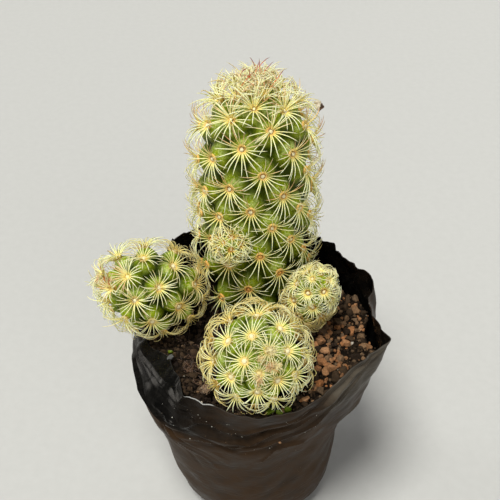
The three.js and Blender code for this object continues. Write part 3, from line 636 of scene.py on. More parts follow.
def skin_material(name, bright, plain, dark, sheen, gap_from, gap_to):
    """Waxy green skin: painted shade in the gaps, mottled, paler on top from a painted sheen, tan round the
    spine cushions.
    """
    shader = Shader(name, Roughness=0.4, Subsurface_Weight=0.1, Subsurface_Scale=0.001)
    shader.set("Specular IOR Level", 0.16)
    shader.set("Specular Tint", (1.0, 1.0, 0.5, 1))
    shader.set("Subsurface Radius", (0.6, 1.0, 0.25))
    patches = shader.noise(3.2, 3)
    mottle = shader.noise(0.75, 5, 0.75, 0.4)
    grains = shader.noise(0.3, 3, 0.6)
    colour = shader.mix(shader.span(patches, 0.35, 0.68), plain, bright)
    colour = shader.mix(shader.span(mottle, 0.48, 0.66, 0, 0.75), colour, tuple(0.42 * c for c in plain))
    colour = shader.mix(shader.span(mottle, 0.46, 0.32, 0, 0.7), colour, tuple(1.35 * c for c in bright))
    # Painted sheen: upward-facing skin is paled towards the sheen colour, in patches set by noise.
    upward = shader.node("SeparateXYZ", {0: shader.node("NewGeometry", {}, "Normal")}, "Z")
    sheen_mask = shader.times(shader.span(upward, -0.1, 0.7), shader.span(shader.noise(1.9, 2), 0.46, 0.62))
    sheen_mask = shader.times(sheen_mask, shader.span(shader.noise(0.5, 4, 0.7), 0.38, 0.56))
    colour = shader.mix(shader.times(sheen_mask, 0.8), colour, sheen)
    # Painted shade: the skin darkens to the dark colour where it lies deep between the cones, by the valley
    # value.
    gap_shade = shader.span(shader.value("valley"), gap_from, gap_to)
    colour = shader.mix(gap_shade, colour, dark)
    flecks = shader.times(shader.span(shader.cells(0.42), 0.3, 0.12), shader.span(grains, 0.4, 0.55))
    flecks = shader.times(flecks, shader.span(gap_shade, 0.7, 0.1, 0, 0.7))
    colour = shader.mix(flecks, colour, (0.72, 0.78, 0.36))
    colour = shader.mix(shader.span(shader.value("cushion"), 0.2, 0.7), colour, (0.56, 0.3, 0.06))
    shader.set("Base Color", colour)
    shader.set("Roughness", shader.span(grains, 0.3, 0.7, 0.3, 0.5))
    fine = shader.bump(grains, 0.07, 0.7)
    shader.set("Normal", shader.bump(mottle, 0.2, 0.7, fine))
    return shader.material


def spine_material():
    """Cream spines with yellow to orange roots. Young centrals are red-brown with dark tips."""
    shader = Shader("spines", Roughness=0.36, Subsurface_Weight=0.4, Subsurface_Scale=0.0006)
    shader.set("Subsurface Radius", (1.0, 0.8, 0.45))
    along = shader.value("along")
    plain = shader.ramp(along, [
        (0.0, (0.9, 0.56, 0.12)), (0.08, (0.94, 0.76, 0.23)), (0.24, (0.96, 0.91, 0.38)),
        (0.45, (0.96, 0.97, 0.52)), (0.8, (0.97, 0.98, 0.6)), (1.0, (0.9, 0.86, 0.42)),
    ])
    tan = shader.ramp(along, [
        (0.0, (0.7, 0.34, 0.06)), (0.12, (0.8, 0.53, 0.13)), (0.5, (0.92, 0.76, 0.32)),
        (1.0, (0.74, 0.5, 0.16)),
    ])
    red = shader.ramp(along, [
        (0.0, (0.88, 0.6, 0.2)), (0.3, (0.9, 0.4, 0.12)), (0.55, (0.82, 0.16, 0.04)),
        (0.76, (0.4, 0.06, 0.045)), (1.0, (0.025, 0.012, 0.02)),
    ])
    colour = shader.mix(shader.value("tan"), plain, tan)
    reddened = shader.times(shader.value("red"), shader.span(along, 0.2, 0.7, 0.35, 1))
    colour = shader.mix(reddened, colour, red)
    colour = shader.mix(shader.times(shader.noise(0.5, 2), 0.08), colour, (0.6, 0.46, 0.2))
    shader.set("Base Color", colour)
    return shader.material


def wool_material():
    """Felt at the middle of each spine cushion: cream when young, then orange and brown."""
    shader = Shader("wool", Roughness=0.9, Sheen_Weight=0.12, Sheen_Roughness=0.5)
    fluff = shader.noise(0.18, 4, 0.6)
    colour = shader.ramp(shader.value("aged"), [
        (0.0, (0.87, 0.8, 0.5)), (0.25, (0.88, 0.74, 0.32)), (0.45, (0.64, 0.38, 0.2)),
        (0.62, (0.92, 0.6, 0.17)), (0.8, (0.92, 0.42, 0.07)), (0.9, (0.6, 0.2, 0.04)),
        (1.0, (0.26, 0.055, 0.015)),
    ])
    colour = shader.mix(shader.span(fluff, 0.35, 0.7, 0, 0.16), colour, (0.72, 0.56, 0.32))
    shader.set("Base Color", colour)
    shader.set("Normal", shader.bump(fluff, 0.12, 0.8))
    return shader.material


def film_material():
    """Thin black film: satin and blue-black where clean, brown and dull where soil dust clings."""
    shader = Shader("bag_film", Roughness=0.3, Specular_IOR_Level=0.11, Specular_Tint=(1.0, 0.9, 0.78, 1.0))
    streak = shader.noise(4.5, 6, 0.7, 0.3, shader.stretched((0.6, 0.6, 1)))
    grime = shader.noise(2.2, 6, 0.7)
    dirty = shader.times(shader.value("dust"), shader.span(streak, 0.2, 0.55))
    clean = shader.mix(shader.span(grime, 0.4, 0.7), (0.002, 0.002, 0.002), (0.007, 0.0066, 0.006))
    soiled = shader.mix(shader.span(grime, 0.35, 0.75), (0.034, 0.0175, 0.0075), (0.047, 0.0245, 0.0108))
    colour = shader.mix(dirty, clean, soiled)
    dots = shader.span(shader.cells(0.7), 0.11, 0.04)
    specks = shader.times(dots, shader.span(shader.noise(3.1, 3), 0.56, 0.64))
    colour = shader.mix(specks, colour, (0.26, 0.21, 0.16))
    # Painted sheen: the pale value mixes in pale grey streaks, for the light on the film at the right front
    # corner.
    pale = shader.times(shader.value("pale"), shader.span(streak, 0.2, 0.6))
    colour = shader.mix(pale, colour, PAINTED_SHEEN_GREY)
    # Painted highlight and stress-whitening: the edge value pales the film's free edge towards grey, most
    # along the crumpled edge at the left front; the grey flake takes its grey from it too.
    colour = shader.mix(shader.value("edge"), colour, (0.6, 0.6, 0.6))
    shader.set("Base Color", colour)
    rough = shader.span(grime, 0.3, 0.7, 0.18, 0.3)
    shader.set("Roughness", shader.math("ADD", rough, shader.times(dirty, 0.3)))
    wrinkle = shader.noise(5.5, 1.5, 0.4, 0, shader.stretched((0.45, 0.45, 1.6)))
    line = shader.span(shader.math("ABSOLUTE", shader.math("SUBTRACT", wrinkle, 0.5)), 0.0, 0.03)
    shader.set("Normal", shader.bump(grime, 0.04, 0.3, shader.bump(line, 0.1, 0.35)))
    return shader.material


def soil_material():
    """Dark crumbly potting mix."""
    shader = Shader("soil", Roughness=0.92, Specular_IOR_Level=0.12)
    crumbs = shader.noise(1.1, 8, 0.72)
    colour = shader.ramp(crumbs, [
        (0.35, (0.002, 0.0012, 0.0007)), (0.5, (0.009, 0.0055, 0.003)), (0.65, (0.035, 0.021, 0.011)),
        (0.85, (0.12, 0.078, 0.045)),
    ])
    shader.set("Base Color", colour)
    shader.set("Normal", shader.bump(crumbs, 0.9))
    return shader.material


def grit_material():
    """Lava grit and peat crumbs, one hue a grain."""
    shader = Shader("grit", Roughness=0.88, Specular_IOR_Level=0.15)
    hue = shader.ramp(shader.value("hue"), [
        (0.0, (0.006, 0.0035, 0.002)), (0.28, (0.022, 0.013, 0.0065)), (0.5, (0.068, 0.041, 0.021)),
        (0.62, (0.2, 0.13, 0.076)), (0.74, (0.36, 0.2, 0.1)), (0.86, (0.5, 0.2, 0.07)),
        (0.94, (0.52, 0.29, 0.15)), (1.0, (0.72, 0.7, 0.62)),
    ])
    pits = shader.noise(0.4, 6, 0.7)
    colour = shader.mix(shader.span(pits, 0.35, 0.7, 0, 0.6), hue, (0.05, 0.033, 0.025))
    shader.set("Base Color", colour)
    shader.set("Normal", shader.bump(pits, 0.45))
    return shader.material


def dry_material():
    """Dry plant matter: papery cream to dark brown."""
    shader = Shader("dried_flower", Roughness=0.8, Sheen_Weight=0.2)
    veins = shader.noise(0.35, 5, 0.65)
    colour = shader.ramp(shader.value("brown"), [
        (0.0, (0.8, 0.72, 0.54)), (0.3, (0.44, 0.3, 0.17)), (0.6, (0.17, 0.075, 0.032)),
        (1.0, (0.03, 0.014, 0.008)),
    ])
    colour = shader.mix(shader.span(veins, 0.4, 0.65, 0, 0.45), colour, (0.16, 0.09, 0.05))
    shader.set("Base Color", colour)
    shader.set("Normal", shader.bump(veins, 0.2))
    return shader.material


# Cactus heads

def head_specs():
    """The values of each head: the main stem first, then the left, front, right and tiny one."""
    specs = [dict(zip(HEAD_TABLE, values)) for values in zip(*HEAD_TABLE.values())]
    specs[0].update(COLUMN_FORM)
    for spec, values in zip(specs[1:], zip(*GLOBE_TABLE.values())):
        spec.update(zip(GLOBE_TABLE, values))
    return specs


def column_outline(spec):
    """Distance from the axis and height along it, from the apex to the root end."""
    turn = np.linspace(0, np.pi / 2, 60)
    shoulder, power = spec["shoulder"], spec["dome_power"]
    top = shoulder + (spec["apex"] - shoulder) * np.maximum(0, np.cos(turn)) ** power
    dome = np.stack([spec["radius"] * np.sin(turn) ** power, top], -1)
    share = np.linspace(0, 1, 40)[1:]
    bulge = spec["bulge"] * np.sin(np.pi * share) - spec["base_taper"] * share ** 3
    side = np.stack([spec["radius"] + bulge, shoulder * (1 - share)], -1)
    end = [(spec["root_radius"], -spec["root_depth"]), (0, -spec["root_depth"] - 1)]
    return np.concatenate([dome, side, end])


def globe_outline(spec):
    end = math.pi - math.asin(min(1, spec["neck_radius"] / spec["radius"]))
    turn = np.linspace(0, end, 80)
    globe = np.stack([spec["radius"] * np.sin(turn), spec["half_length"] * np.cos(turn)], -1)
    bottom = -spec["half_length"] - spec["neck_length"]
    return np.concatenate([globe, [(spec["neck_radius"] * 0.9, bottom), (0, bottom - 0.3)]])


class Head:
    """A cactus head: a surface of revolution with areoles in golden-angle order."""

    def __init__(self, spec):
        self.spec = spec
        self.origin = np.array(spec["origin"], float)
        self.axis = unit(spec["axis"])
        self.upright = "shoulder" in spec
        front = np.array([0, -1.0, 0]) if self.upright else np.cross(UP, self.axis)
        self.front = unit(front - np.dot(front, self.axis) * self.axis)
        self.side = unit(np.cross(self.axis, self.front))
        self.outline = column_outline(spec) if self.upright else globe_outline(spec)
        spans = np.hypot(*np.diff(self.outline, axis=0).T)
        self.along = np.concatenate([[0], np.cumsum(spans)])
        self.length = self.along[-1]
        self.place_areoles()

    def on_outline(self, length):
        """Distance from the axis and height, at lengths down the outline."""
        return [np.interp(length, self.along, values) for values in self.outline.T]

    def length_at(self, height):
        return np.interp(-height, -self.outline[:, 1], self.along)

    def surface(self, angle, length):
        """Point, normal, and the directions across and down, at angles and lengths down the outline."""
        step = 0.4
        radius, height = self.on_outline(length)
        radius_after, height_after = self.on_outline(length + step)
        radius_before, height_before = self.on_outline(length - step)
        radial = toward(angle, self.front, self.side)
        point = self.origin + radial * radius[:, None] + self.axis * height[:, None]
        outward = (height_before - height_after)[:, None]
        upward = (radius_after - radius_before)[:, None]
        normal = unit(radial * outward + self.axis * upward)
        across = unit(np.cross(self.axis, radial))
        return point, normal, across, unit(np.cross(across, normal))

    def place_areoles(self):
        spec = self.spec
        if self.upright:
            j = np.arange(1, spec["count"])
            older = j - spec["young_count"]
            share = np.maximum(0, older) / spec["rise_span"]
            bend = spec["rise_bend"] * share ** 2 + spec["rise_twist"] * share ** 3
            drop = spec["rise"] * older + spec["rise_span"] * bend
            shoulder = self.length_at(spec["shoulder"])
            at_shoulder = spec["young_count"] + spec["shoulder_index"]
            young = shoulder * (j / at_shoulder) ** spec["young_power"]
            lengths = np.where(j < at_shoulder, young, shoulder + drop - spec["shoulder_drop"])
            angles = spec["start_angle"] + older * spec["divergence"]
        else:
            j = np.arange(int(spec["full_count"] * spec["cover_share"]))
            cosine = 1 - 2 * ((j + 0.5) / spec["full_count"]) ** spec["young_power"]
            lengths = self.length_at(spec["half_length"] * cosine)
            angles = spec["start_angle"] - j * GOLDEN_ANGLE
        kept = lengths < self.length - spec["bare_length"]
        self.angles, self.lengths = angles[kept], lengths[kept]
        self.points, self.normals, self.across, self.down = self.surface(self.angles, self.lengths)
        from_apex, to_mature = spec["young_reach"]
        self.young = 1 - smooth((self.lengths - from_apex) / (to_mature - from_apex))

    def frames(self, index):
        """Normals and directions across and down, at areoles."""
        return self.normals[index], self.across[index], self.down[index]

    def depth_inside(self, points):
        """How far points are inside the head's plain outline, in millimetres across its axis."""
        local = points - self.origin
        height = local @ self.axis
        radius = np.linalg.norm(local - height[..., None] * self.axis, axis=-1)
        order = np.argsort(self.outline[:, 1])
        wall = np.interp(height, self.outline[order, 1], self.outline[order, 0], left=0, right=0)
        covered = (height < self.outline[0, 1]) & (height > self.outline[-1, 1])
        return np.where(covered, wall - radius, -5.0)


def head_skin(head, material):
    """The head's skin: cones that meet in deep gaps, one under each areole."""
    spec = head.spec
    rows, columns = spec["rows"], spec["columns"]
    lengths = np.linspace(0, head.length, rows + 2)[1:-1]
    angles = np.arange(columns) * 2 * np.pi / columns
    length, angle = [grid.ravel() for grid in np.meshgrid(lengths, angles, indexing="ij")]
    length = np.concatenate([length, [0, head.length]])
    angle = np.concatenate([angle, [0, 0]])
    point, normal, _, down = head.surface(angle, length)
    distance = nearest_distance(point + 0.35 * shoves(point, 2.6, spec["seed"]), head.points)
    covered = 1 - smooth((length - (head.length - spec["bare_length"])) / 4)
    depth = spec["cone"] * np.maximum(0, distance - 0.45) ** CONE_POWER
    depth = np.minimum(depth, 3.9) * mix(0.35, 1, covered)
    swell = 0.14 * noise(point, 3.2, spec["seed"] + 5) + 0.05 * noise(point, 1.1, spec["seed"] + 6)
    plain = point
    point = point + normal * (swell - depth)[:, None] + down * (0.08 * depth)[:, None]
    border = spec["cone"] * (0.55 * spec["mature_spacing"] + 0.4) ** CONE_POWER
    faces = [face[::-1] for face in grid_faces(rows, columns)]
    faces += fan_faces(rows * columns, 0, columns, False)
    faces += fan_faces(rows * columns + 1, (rows - 1) * columns, columns, True)
    # How deep each point lies between the cones, from which the skin paints shade in the gaps.
    valley = np.clip(depth / border, 0, 1.3)
    cushion = np.exp(-(nearest_distance(plain, head.points) / 0.95) ** 2)
    return add_mesh(spec["name"] + "_skin", point, faces, material, valley=valley, cushion=cushion)


def pot_depth(points):
    """How far points are into the soil or the film, in millimetres."""
    angle = angle_of(points)
    radius = np.hypot(points[..., 0], points[..., 1])
    rim_radius, rim_height = at_angle(RIM, angle)
    crease_radius, crease_height = at_angle(CREASE, angle)
    share = np.clip((points[..., 2] - crease_height) / (rim_height - crease_height), 0, 1)
    wall = mix(crease_radius, rim_radius, share)
    into_soil = np.where(radius < wall, soil_height(points[..., 0], points[..., 1]) - points[..., 2], -5)
    into_film = np.where(points[..., 2] < rim_height + 0.3, 0.6 - np.abs(radius - wall), -5)
    return np.maximum(into_soil, into_film)


def spine_paths(centre, frames, azimuth, drift, leans, length, lift=ZERO, start=ZERO, crown=None):
    """Curved paths of shape (spine, point, 3), bending from one lean to another.

    A crown has how much each path is pulled, and the head's origin and axis, which it is pulled up along.
    """
    normal, across, down = frames
    t = (np.arange(SPINE_STEPS) + 0.5) / SPINE_STEPS
    lean_root, lean_tip = leans
    lean = np.radians(lift[:, None] + mix(lean_root[:, None], lean_tip[:, None], t))
    turn = azimuth[:, None] + drift[:, None] * t ** 2
    direction = toward(lean, toward(turn, across[:, None], down[:, None]), normal[:, None])
    if crown is not None:
        pull, origin, axis = crown
        away = centre - origin
        away = away - (away @ axis)[:, None] * axis
        away = away / np.maximum(3, np.linalg.norm(away, axis=1))[:, None]
        upward = np.multiply.outer(pull, 1 - 0.3 * t)[..., None] * axis
        inward = np.multiply.outer(pull, 2.6 * t ** 1.5)[..., None] * away[:, None]
        direction = unit(direction + upward - inward)
    move = np.cumsum(direction * (length / SPINE_STEPS)[:, None, None], axis=1)
    root = centre + toward(azimuth, across, down) * start[:, None] - normal * 0.15
    return np.concatenate([root[:, None], root[:, None] + move], axis=1)


def curved_tubes(paths, widths, frames, azimuth, sides):
    normal, across, down = frames
    return tubes(paths, widths, np.cross(toward(azimuth, across, down), normal), sides)


def star_spines(head, i, random):
    """The radial spines of one areole, each with its turn, leans, length, colours and thickness."""
    spec = head.spec
    young, length_down = head.young[i], head.lengths[i]
    age = length_down / head.length
    growth = smooth(length_down / spec["grown_at"])
    near = 1 - smooth((length_down - 0.3 * spec["near_reach"]) / spec["near_reach"])
    rim = smooth((age - 0.3) / 0.2)
    count = spec["spine_count"] * mix(1, spec["young_count_share"], young) * mix(spec["bud_count"], 1, growth)
    count *= mix(1, spec["rim_count"], rim)
    count = int(round(count + random.uniform(-1.5, 1.5)))
    first_turn = random.uniform(0, 2 * np.pi)
    areole_tan = random.normal(0, spec["tan_spread"]) + spec["age_tan"] * smooth((age - 0.28) / 0.24)
    lean_root, lean_tip = [mix(*leans, rim) for leans in zip(spec["spine_lean"], spec["rim_lean"])]
    lean_tip -= spec["young_curl"] * young
    start = mix(0.72, 0.4, young)
    for k in range(count):
        azimuth = first_turn + 2 * np.pi * (k + random.uniform(-0.3, 0.3)) / count
        downward = math.sin(azimuth)
        length = spec["spine_length"] * mix(1, spec["young_length"], young)
        length *= mix(spec["bud_length"], 1, growth)
        length *= mix(0.96, 1.03, 0.5 + 0.5 * downward) * random.uniform(0.86, 1.08)
        length *= mix(1, spec["rim_length"], rim)
        rise = spec["young_rise"] * young ** 3 + random.normal(0, mix(4, 8, young))
        rise += mix(spec["upper_rise"], spec["young_upper"], near) * max(0, -downward)
        # Tan falls on the spines that point down the head and rises on those that point up: a painted
        # highlight that whitens the downward spines.
        tan = mix(0.14 - 0.3 * downward + areole_tan, spec["young_tan"], near) + random.normal(0, 0.14)
        red = random.uniform(0.3, 0.8) if random.uniform() < spec["reddish_share"] * young else 0
        if downward < -0.2 and length_down < spec["dark_tips"]:
            red = max(red, random.uniform(0, 0.8))
        drift = random.normal(0, mix(spec["drift"], spec["rim_drift"], rim))
        thick = mix(mix(0.76, 1.12, 0.5 + 0.5 * downward), spec["young_thick"], near)
        thick *= mix(1, spec["rim_thick"], rim)
        yield azimuth, drift, rise, lean_root, lean_tip, length, start, np.clip(tan, 0, 1), red, thick


def crown_spines(head, i, random):
    """Longer arcs of one areole near the apex, which cross into a tangle there."""
    spec = head.spec
    crowded = smooth(head.lengths[i] / 3) * (1 - smooth((head.lengths[i] - 10) / 5))
    for _ in range(int(round(spec["crown_spines"] * crowded))):
        azimuth = -np.pi / 2 + random.normal(0, 1.3)
        red = random.uniform(0.1, 0.5) if random.uniform() < 0.25 else 0
        drift = random.normal(0, 0.3)
        leans = random.uniform(45, 75), random.uniform(-25, 20)
        length = random.uniform(0.87, 1.35) * spec["spine_length"]
        yield azimuth, drift, 0, *leans, length, 0.3, random.uniform(0, 0.3), red, 1.12


def central_spines(head, i, random):
    """Red-brown central spines of one areole, only near the apex."""
    reach, most = head.spec["centrals"]
    for _ in range(int(round(most * max(0, 1 - head.lengths[i] / reach)))):
        azimuth = -np.pi / 2 + random.normal(0, 1.2)
        length = random.uniform(1.15, 1.5) * head.spec["central_length"]
        drift = random.normal(0, 0.4)
        leans = random.uniform(62, 88), random.uniform(-10, 40)
        yield azimuth, drift, 0, *leans, length, 0.15, 0, random.uniform(1.0, 1.5), 1.1


def head_spines(head, others, material):
    """All spines of a head. The ones that would run into the pot or another head are lifted or shortened."""
    spec = head.spec
    random = np.random.default_rng(spec["seed"] + 100)
    kinds = (star_spines, crown_spines, central_spines)
    rows = [(i, *row) for i in range(len(head.points)) for kind in kinds for row in kind(head, i, random)]
    table = np.array(rows)
    index = table[:, 0].astype(int)
    azimuth, drift, lift, lean_root, lean_tip, length, start, tan, red, thick = table[:, 1:].T
    centre = head.points[index] + head.normals[index] * 0.12
    crown = (spec["young_pull"] * head.young[index], head.origin, head.axis)

    def paths_now():
        leans = (lean_root, lean_tip)
        return spine_paths(centre, head.frames(index), azimuth, drift, leans, length, lift, start, crown)

    for extra, shorter in BLOCKED_STEPS:
        blocked = spines_blocked(paths_now(), others)
        lift = lift + extra * blocked
        length = length * np.where(blocked, shorter, 1)
    paths = paths_now()
    kept = ~spines_blocked(paths, others)
    share = np.linspace(0, 1, SPINE_STEPS + 1)
    taper = 1 - 0.62 * share ** 1.4 + 0.3 * np.exp(-(share / 0.08) ** 2)
    widths = spec["spine_radius"] * thick[kept][:, None] * taper
    points, faces = curved_tubes(paths[kept], widths, head.frames(index[kept]), azimuth[kept], SPINE_SIDES)
    along = np.tile(tube_share(SPINE_STEPS + 1, SPINE_SIDES), kept.sum())
    tan, red = spread(tan[kept], points), spread(red[kept], points)
    return add_mesh(spec["name"] + "_spines", points, faces, material, along=along, tan=tan, red=red)


def spines_blocked(paths, others):
    """Which paths run into the pot or another head, past their first quarter or so."""
    outer = paths[:, 3:]
    blocked = (pot_depth(outer) > 0).any(axis=1)
    for other in others:
        blocked |= (other.depth_inside(outer) > -0.2).any(axis=1)
    return blocked


def set_on_areoles(head, shapes, lift):
    """Shapes given in the areoles' own frames, moved to their places a little above the skin."""
    frames = np.stack([head.across, head.down, head.normals], axis=1)
    lifted = head.points + lift * head.normals + 3 * lift ** 2 * head.down
    return (np.einsum("nvk,nkj->nvj", shapes, frames) + lifted[:, None]).reshape(-1, 3)


def areole_lumps(head, base, size, seed):
    """How far each copy of a shape swells at each point, no two areoles alike."""
    shift = np.arange(len(head.points))[:, None, None] * 7.0
    return noise(base[None] * size + shift, 1, seed)[..., None]


def areole_domes(head, size):
    base, faces = ball(2)
    lump = 1 + 0.2 * areole_lumps(head, base, 2.2, head.spec["seed"])
    shapes = base[None] * lump * size[:, None, None] * np.array([1, 1, 0.72])
    return set_on_areoles(head, shapes, 0.14), repeat_faces(faces, len(size), len(base))


def areole_collars(head, size):
    """Lumpy rings: points, faces, and the points at the inside of each ring's upper half."""
    around = np.arange(COLLAR_AROUND) * 2 * np.pi / COLLAR_AROUND
    about = np.arange(COLLAR_ABOUT) * 2 * np.pi / COLLAR_ABOUT
    around, about = np.meshgrid(around, about, indexing="ij")
    reach = 0.9 + 0.26 * np.cos(about)
    ring = np.stack([reach * np.cos(around), reach * np.sin(around), 0.3 * np.sin(about)], -1).reshape(-1, 3)
    inner = ((reach < 0.8) & (np.sin(about) < 0) & (np.sin(around) < 0.3)).ravel()
    lump = 1 + 0.14 * areole_lumps(head, ring, 2.6, head.spec["seed"] + 9)
    faces = np.array(grid_faces(COLLAR_AROUND + 1, COLLAR_ABOUT)) % len(ring)
    points = set_on_areoles(head, ring[None] * lump * size[:, None, None], 0.02)
    return points, repeat_faces(faces, len(size), len(ring)), inner


def areole_hairs(head, size, random):
    index = np.repeat(np.arange(len(size)), AREOLE_HAIRS)
    count = len(index)
    azimuth = random.uniform(0, 2 * np.pi, count)
    lean = random.uniform(15, 80, count)
    length = random.uniform(0.5, 1.0, count) * (size[index] / 0.56)
    drift = random.normal(0, 1.2, count)
    centre = head.points[index] + 0.2 * head.normals[index]
    frames = head.frames(index)
    paths = spine_paths(centre, frames, azimuth, drift, (lean, lean - 45), length, start=0.25 * size[index])
    paths = paths[:, ::2]
    return curved_tubes(paths, HAIR_WIDTH * np.linspace(1, 0.4, paths.shape[1]), frames, azimuth, HAIR_SIDES)


def head_wool(head, material):
    """A small felt dome with short hairs at the middle of every areole, inside a tan collar."""
    spec = head.spec
    random = np.random.default_rng(spec["seed"] + 200)
    scale = (spec["mature_spacing"] / 6) ** 0.5
    age = head.lengths / head.length
    old = smooth((age - spec["wool_fades"]) / 0.35) * random.uniform(0.6, 1, len(age))
    size = spec["pad"] * scale * mix(1, spec["young_wool"], head.young) * mix(1, 0.8, old)
    hue = np.maximum(np.where(old > 0.2, 0.7 + 0.12 * old, old), spec["young_fluff"] * head.young)
    dome, dome_faces = areole_domes(head, size)
    collar, collar_faces, inner = areole_collars(head, spec["collar"] * scale * mix(1, 0.6, head.young))
    collar_hue = (mix(spec["collar_hue"], 0.8, old)[:, None] + 0.35 * inner).ravel()
    hair, hair_faces = areole_hairs(head, size, random)
    points, faces, aged = join_parts(
        (dome, dome_faces, spread(hue, dome)),
        (collar, collar_faces, collar_hue),
        (hair, hair_faces, spread(hue, hair)),
    )
    return add_mesh(spec["name"] + "_wool", points, faces, material, aged=aged)


def make_scrap(head, spines, dry):
    """A dried flower scrap held out by one reddish spine at the stem's shoulder."""
    tip = np.array(SCRAP_PLACE)
    nearest = np.argmin(np.linalg.norm(head.points - tip, axis=1))
    root, normal = head.points[nearest], head.normals[nearest]
    steps = 10
    share = np.linspace(0, 1, steps)[:, None]
    bend = mix(root, tip, 0.35) + 3.2 * normal
    path = (1 - share) ** 2 * root + 2 * share * (1 - share) * bend + share ** 2 * tip
    points, faces = tubes(path[None], np.linspace(0.18, 0.11, steps), head.across[nearest][None], SPINE_SIDES)
    along = tube_share(steps, SPINE_SIDES)
    hues = {"tan": np.full_like(along, 0.5), "red": np.full_like(along, 0.55)}
    spine = add_mesh("scrap_spine", points, faces, spines, along=along, **hues)
    offsets, sizes, flats, brown = [np.array(values) for values in zip(*SCRAP_LUMPS)]
    points, faces = lumps(tip + offsets, sizes, flats, 3, 91)
    points = points + 0.2 * shoves(points, 0.5, 92)
    return spine, add_mesh("dried_scrap", points, faces, dry, brown=spread(brown, points))


def tuft_parts(place, frame, size, hue, hairs, random):
    """A fluffy tuft: curly hairs and a small ragged core, with one hue a point."""
    frames = repeated(frame, hairs)
    azimuth = random.uniform(0, 2 * np.pi, hairs)
    lean = random.uniform(5, 85, hairs)
    centre = place + 0.35 * size * random.normal(size=(hairs, 3))
    drift = random.normal(0, 2.2, hairs)
    length = size * random.uniform(0.7, 1.4, hairs)
    paths = spine_paths(centre, frames, azimuth, drift, (lean, lean - 70), length)
    widths = TUFT_HAIR_WIDTH * np.linspace(1, 0.5, SPINE_STEPS + 1)
    points, faces = curved_tubes(paths, widths, frames, azimuth, HAIR_SIDES)
    hues = np.clip(hue + random.normal(0, 0.08, hairs), 0, 1)
    core, core_faces = lumps([place], [0.42 * size], [0.8], 2, int(100 * size))
    return (points, faces, spread(hues, points)), (core, core_faces, np.full(len(core), hue))


def repeated(frame, count):
    return [np.repeat(np.asarray(axis, float)[None], count, axis=0) for axis in frame]


def make_tufts(name, head, tufts, material):
    random = np.random.default_rng(head.spec["seed"] + 300)
    parts = []
    for turn, length, size, hue in tufts:
        point, *frame = [row[0] for row in head.surface(np.array([turn]), np.array([length]))]
        parts += tuft_parts(point + 1.0 * frame[0], frame, size, hue, TUFT_HAIRS, random)
    points, faces, aged = join_parts(*parts)
    return add_mesh(name, points, faces, material, aged=aged)


def make_litter(heads, film, dry, skin):
    """Loose bits on the soil: a brown tuft, a grey flake, green remnants and reddish-brown fibres."""
    random = np.random.default_rng(88)
    parts = tuft_parts(np.array(LOOSE_TUFT), GROUND_FRAME, 1.15, 0.4, LOOSE_TUFT_HAIRS, random)
    points, faces, brown = join_parts(*parts)
    tuft = add_mesh("loose_tuft", points, faces, dry, brown=brown)
    points, faces = lumps([GREY_FLAKE], [0.95], [0.25], 3, 95)
    grey = np.full(len(points), 0.13)
    flake = add_mesh("grey_flake", points, faces, film, dust=0 * grey, edge=grey, pale=0 * grey)
    points, faces = lumps(GREEN_BITS, [1.0, 1.15, 1.0, 1.05], [0.35, 0.5, 0.4, 0.5], 3, 94)
    green = add_mesh("green_bits", points, faces, skin, valley=spread([0.7, 0.82, 0.82, 0.82], points))
    return tuft, flake, green, make_fibres(heads, dry, random)


def make_fibres(heads, material, random):
    """Root fibres on the soil, many of them in a heap at the left front."""
    scatter_size = np.where(random.uniform(size=(FIBRES, 1)) < 0.4, 3.4, 13.0)
    centre = np.array(FIBRE_HEAP) + scatter_size * random.normal(size=(FIBRES, 2)) * (0.6, 0.9)
    centre = np.column_stack([centre, soil_height(*centre.T) + random.uniform(0, 0.9, FIBRES)])
    within = np.hypot(*centre[:, :2].T) < soil_opening(angle_of(centre), centre[:, 2]) - 2.5
    clear = np.all([head.depth_inside(centre) < -0.4 for head in heads], axis=0)
    centre = centre[within & clear]
    count = len(centre)
    frames = repeated(GROUND_FRAME, count)
    azimuth = random.uniform(0, 2 * np.pi, count)
    lean = random.uniform(-4, 24, count)
    drift = random.normal(0, 1.4, count)
    length = random.uniform(0.9, 2.8, count)
    paths = spine_paths(centre, frames, azimuth, drift, (lean, -0.8 * lean), length)
    widths = random.uniform(0.05, 0.11, count)[:, None] * np.linspace(1, 0.6, SPINE_STEPS + 1)
    points, faces = curved_tubes(paths, widths, frames, azimuth, SPINE_SIDES)
    brown = spread(random.uniform(0.6, 1.0, count), points)
    return add_mesh("soil_fibres", points, faces, material, brown=brown)


# Bag of film

def at_angle(controls, angle):
    """Distance and height of a ring of control points at angles in degrees."""
    turn = np.mod(angle, 360)
    table = np.array(controls, float)
    before = np.searchsorted(table[:, 0], turn, side="right") - 1
    after = (before + 1) % len(table)
    span = np.mod(table[after, 0] - table[before, 0] + 360, 360)
    share = smooth(np.mod(turn - table[before, 0] + 360, 360) / span)
    radius = mix(table[before, 1], table[after, 1], share)
    height = mix(table[before, 2], table[after, 2], share)
    return radius, height


def turned(angle):
    """The angle brought to -180..180 degrees."""
    return angle - 360 * np.round(angle / 360)


def fold_depth(angle, height):
    depth = 0
    for middle, lean, width, size, level, reach in FOLDS:
        across = turned(angle - middle - lean * (height - level)) / width
        along = (height - level) / reach
        depth = depth + size * np.exp(-across ** 2 - along ** 2)
    return depth


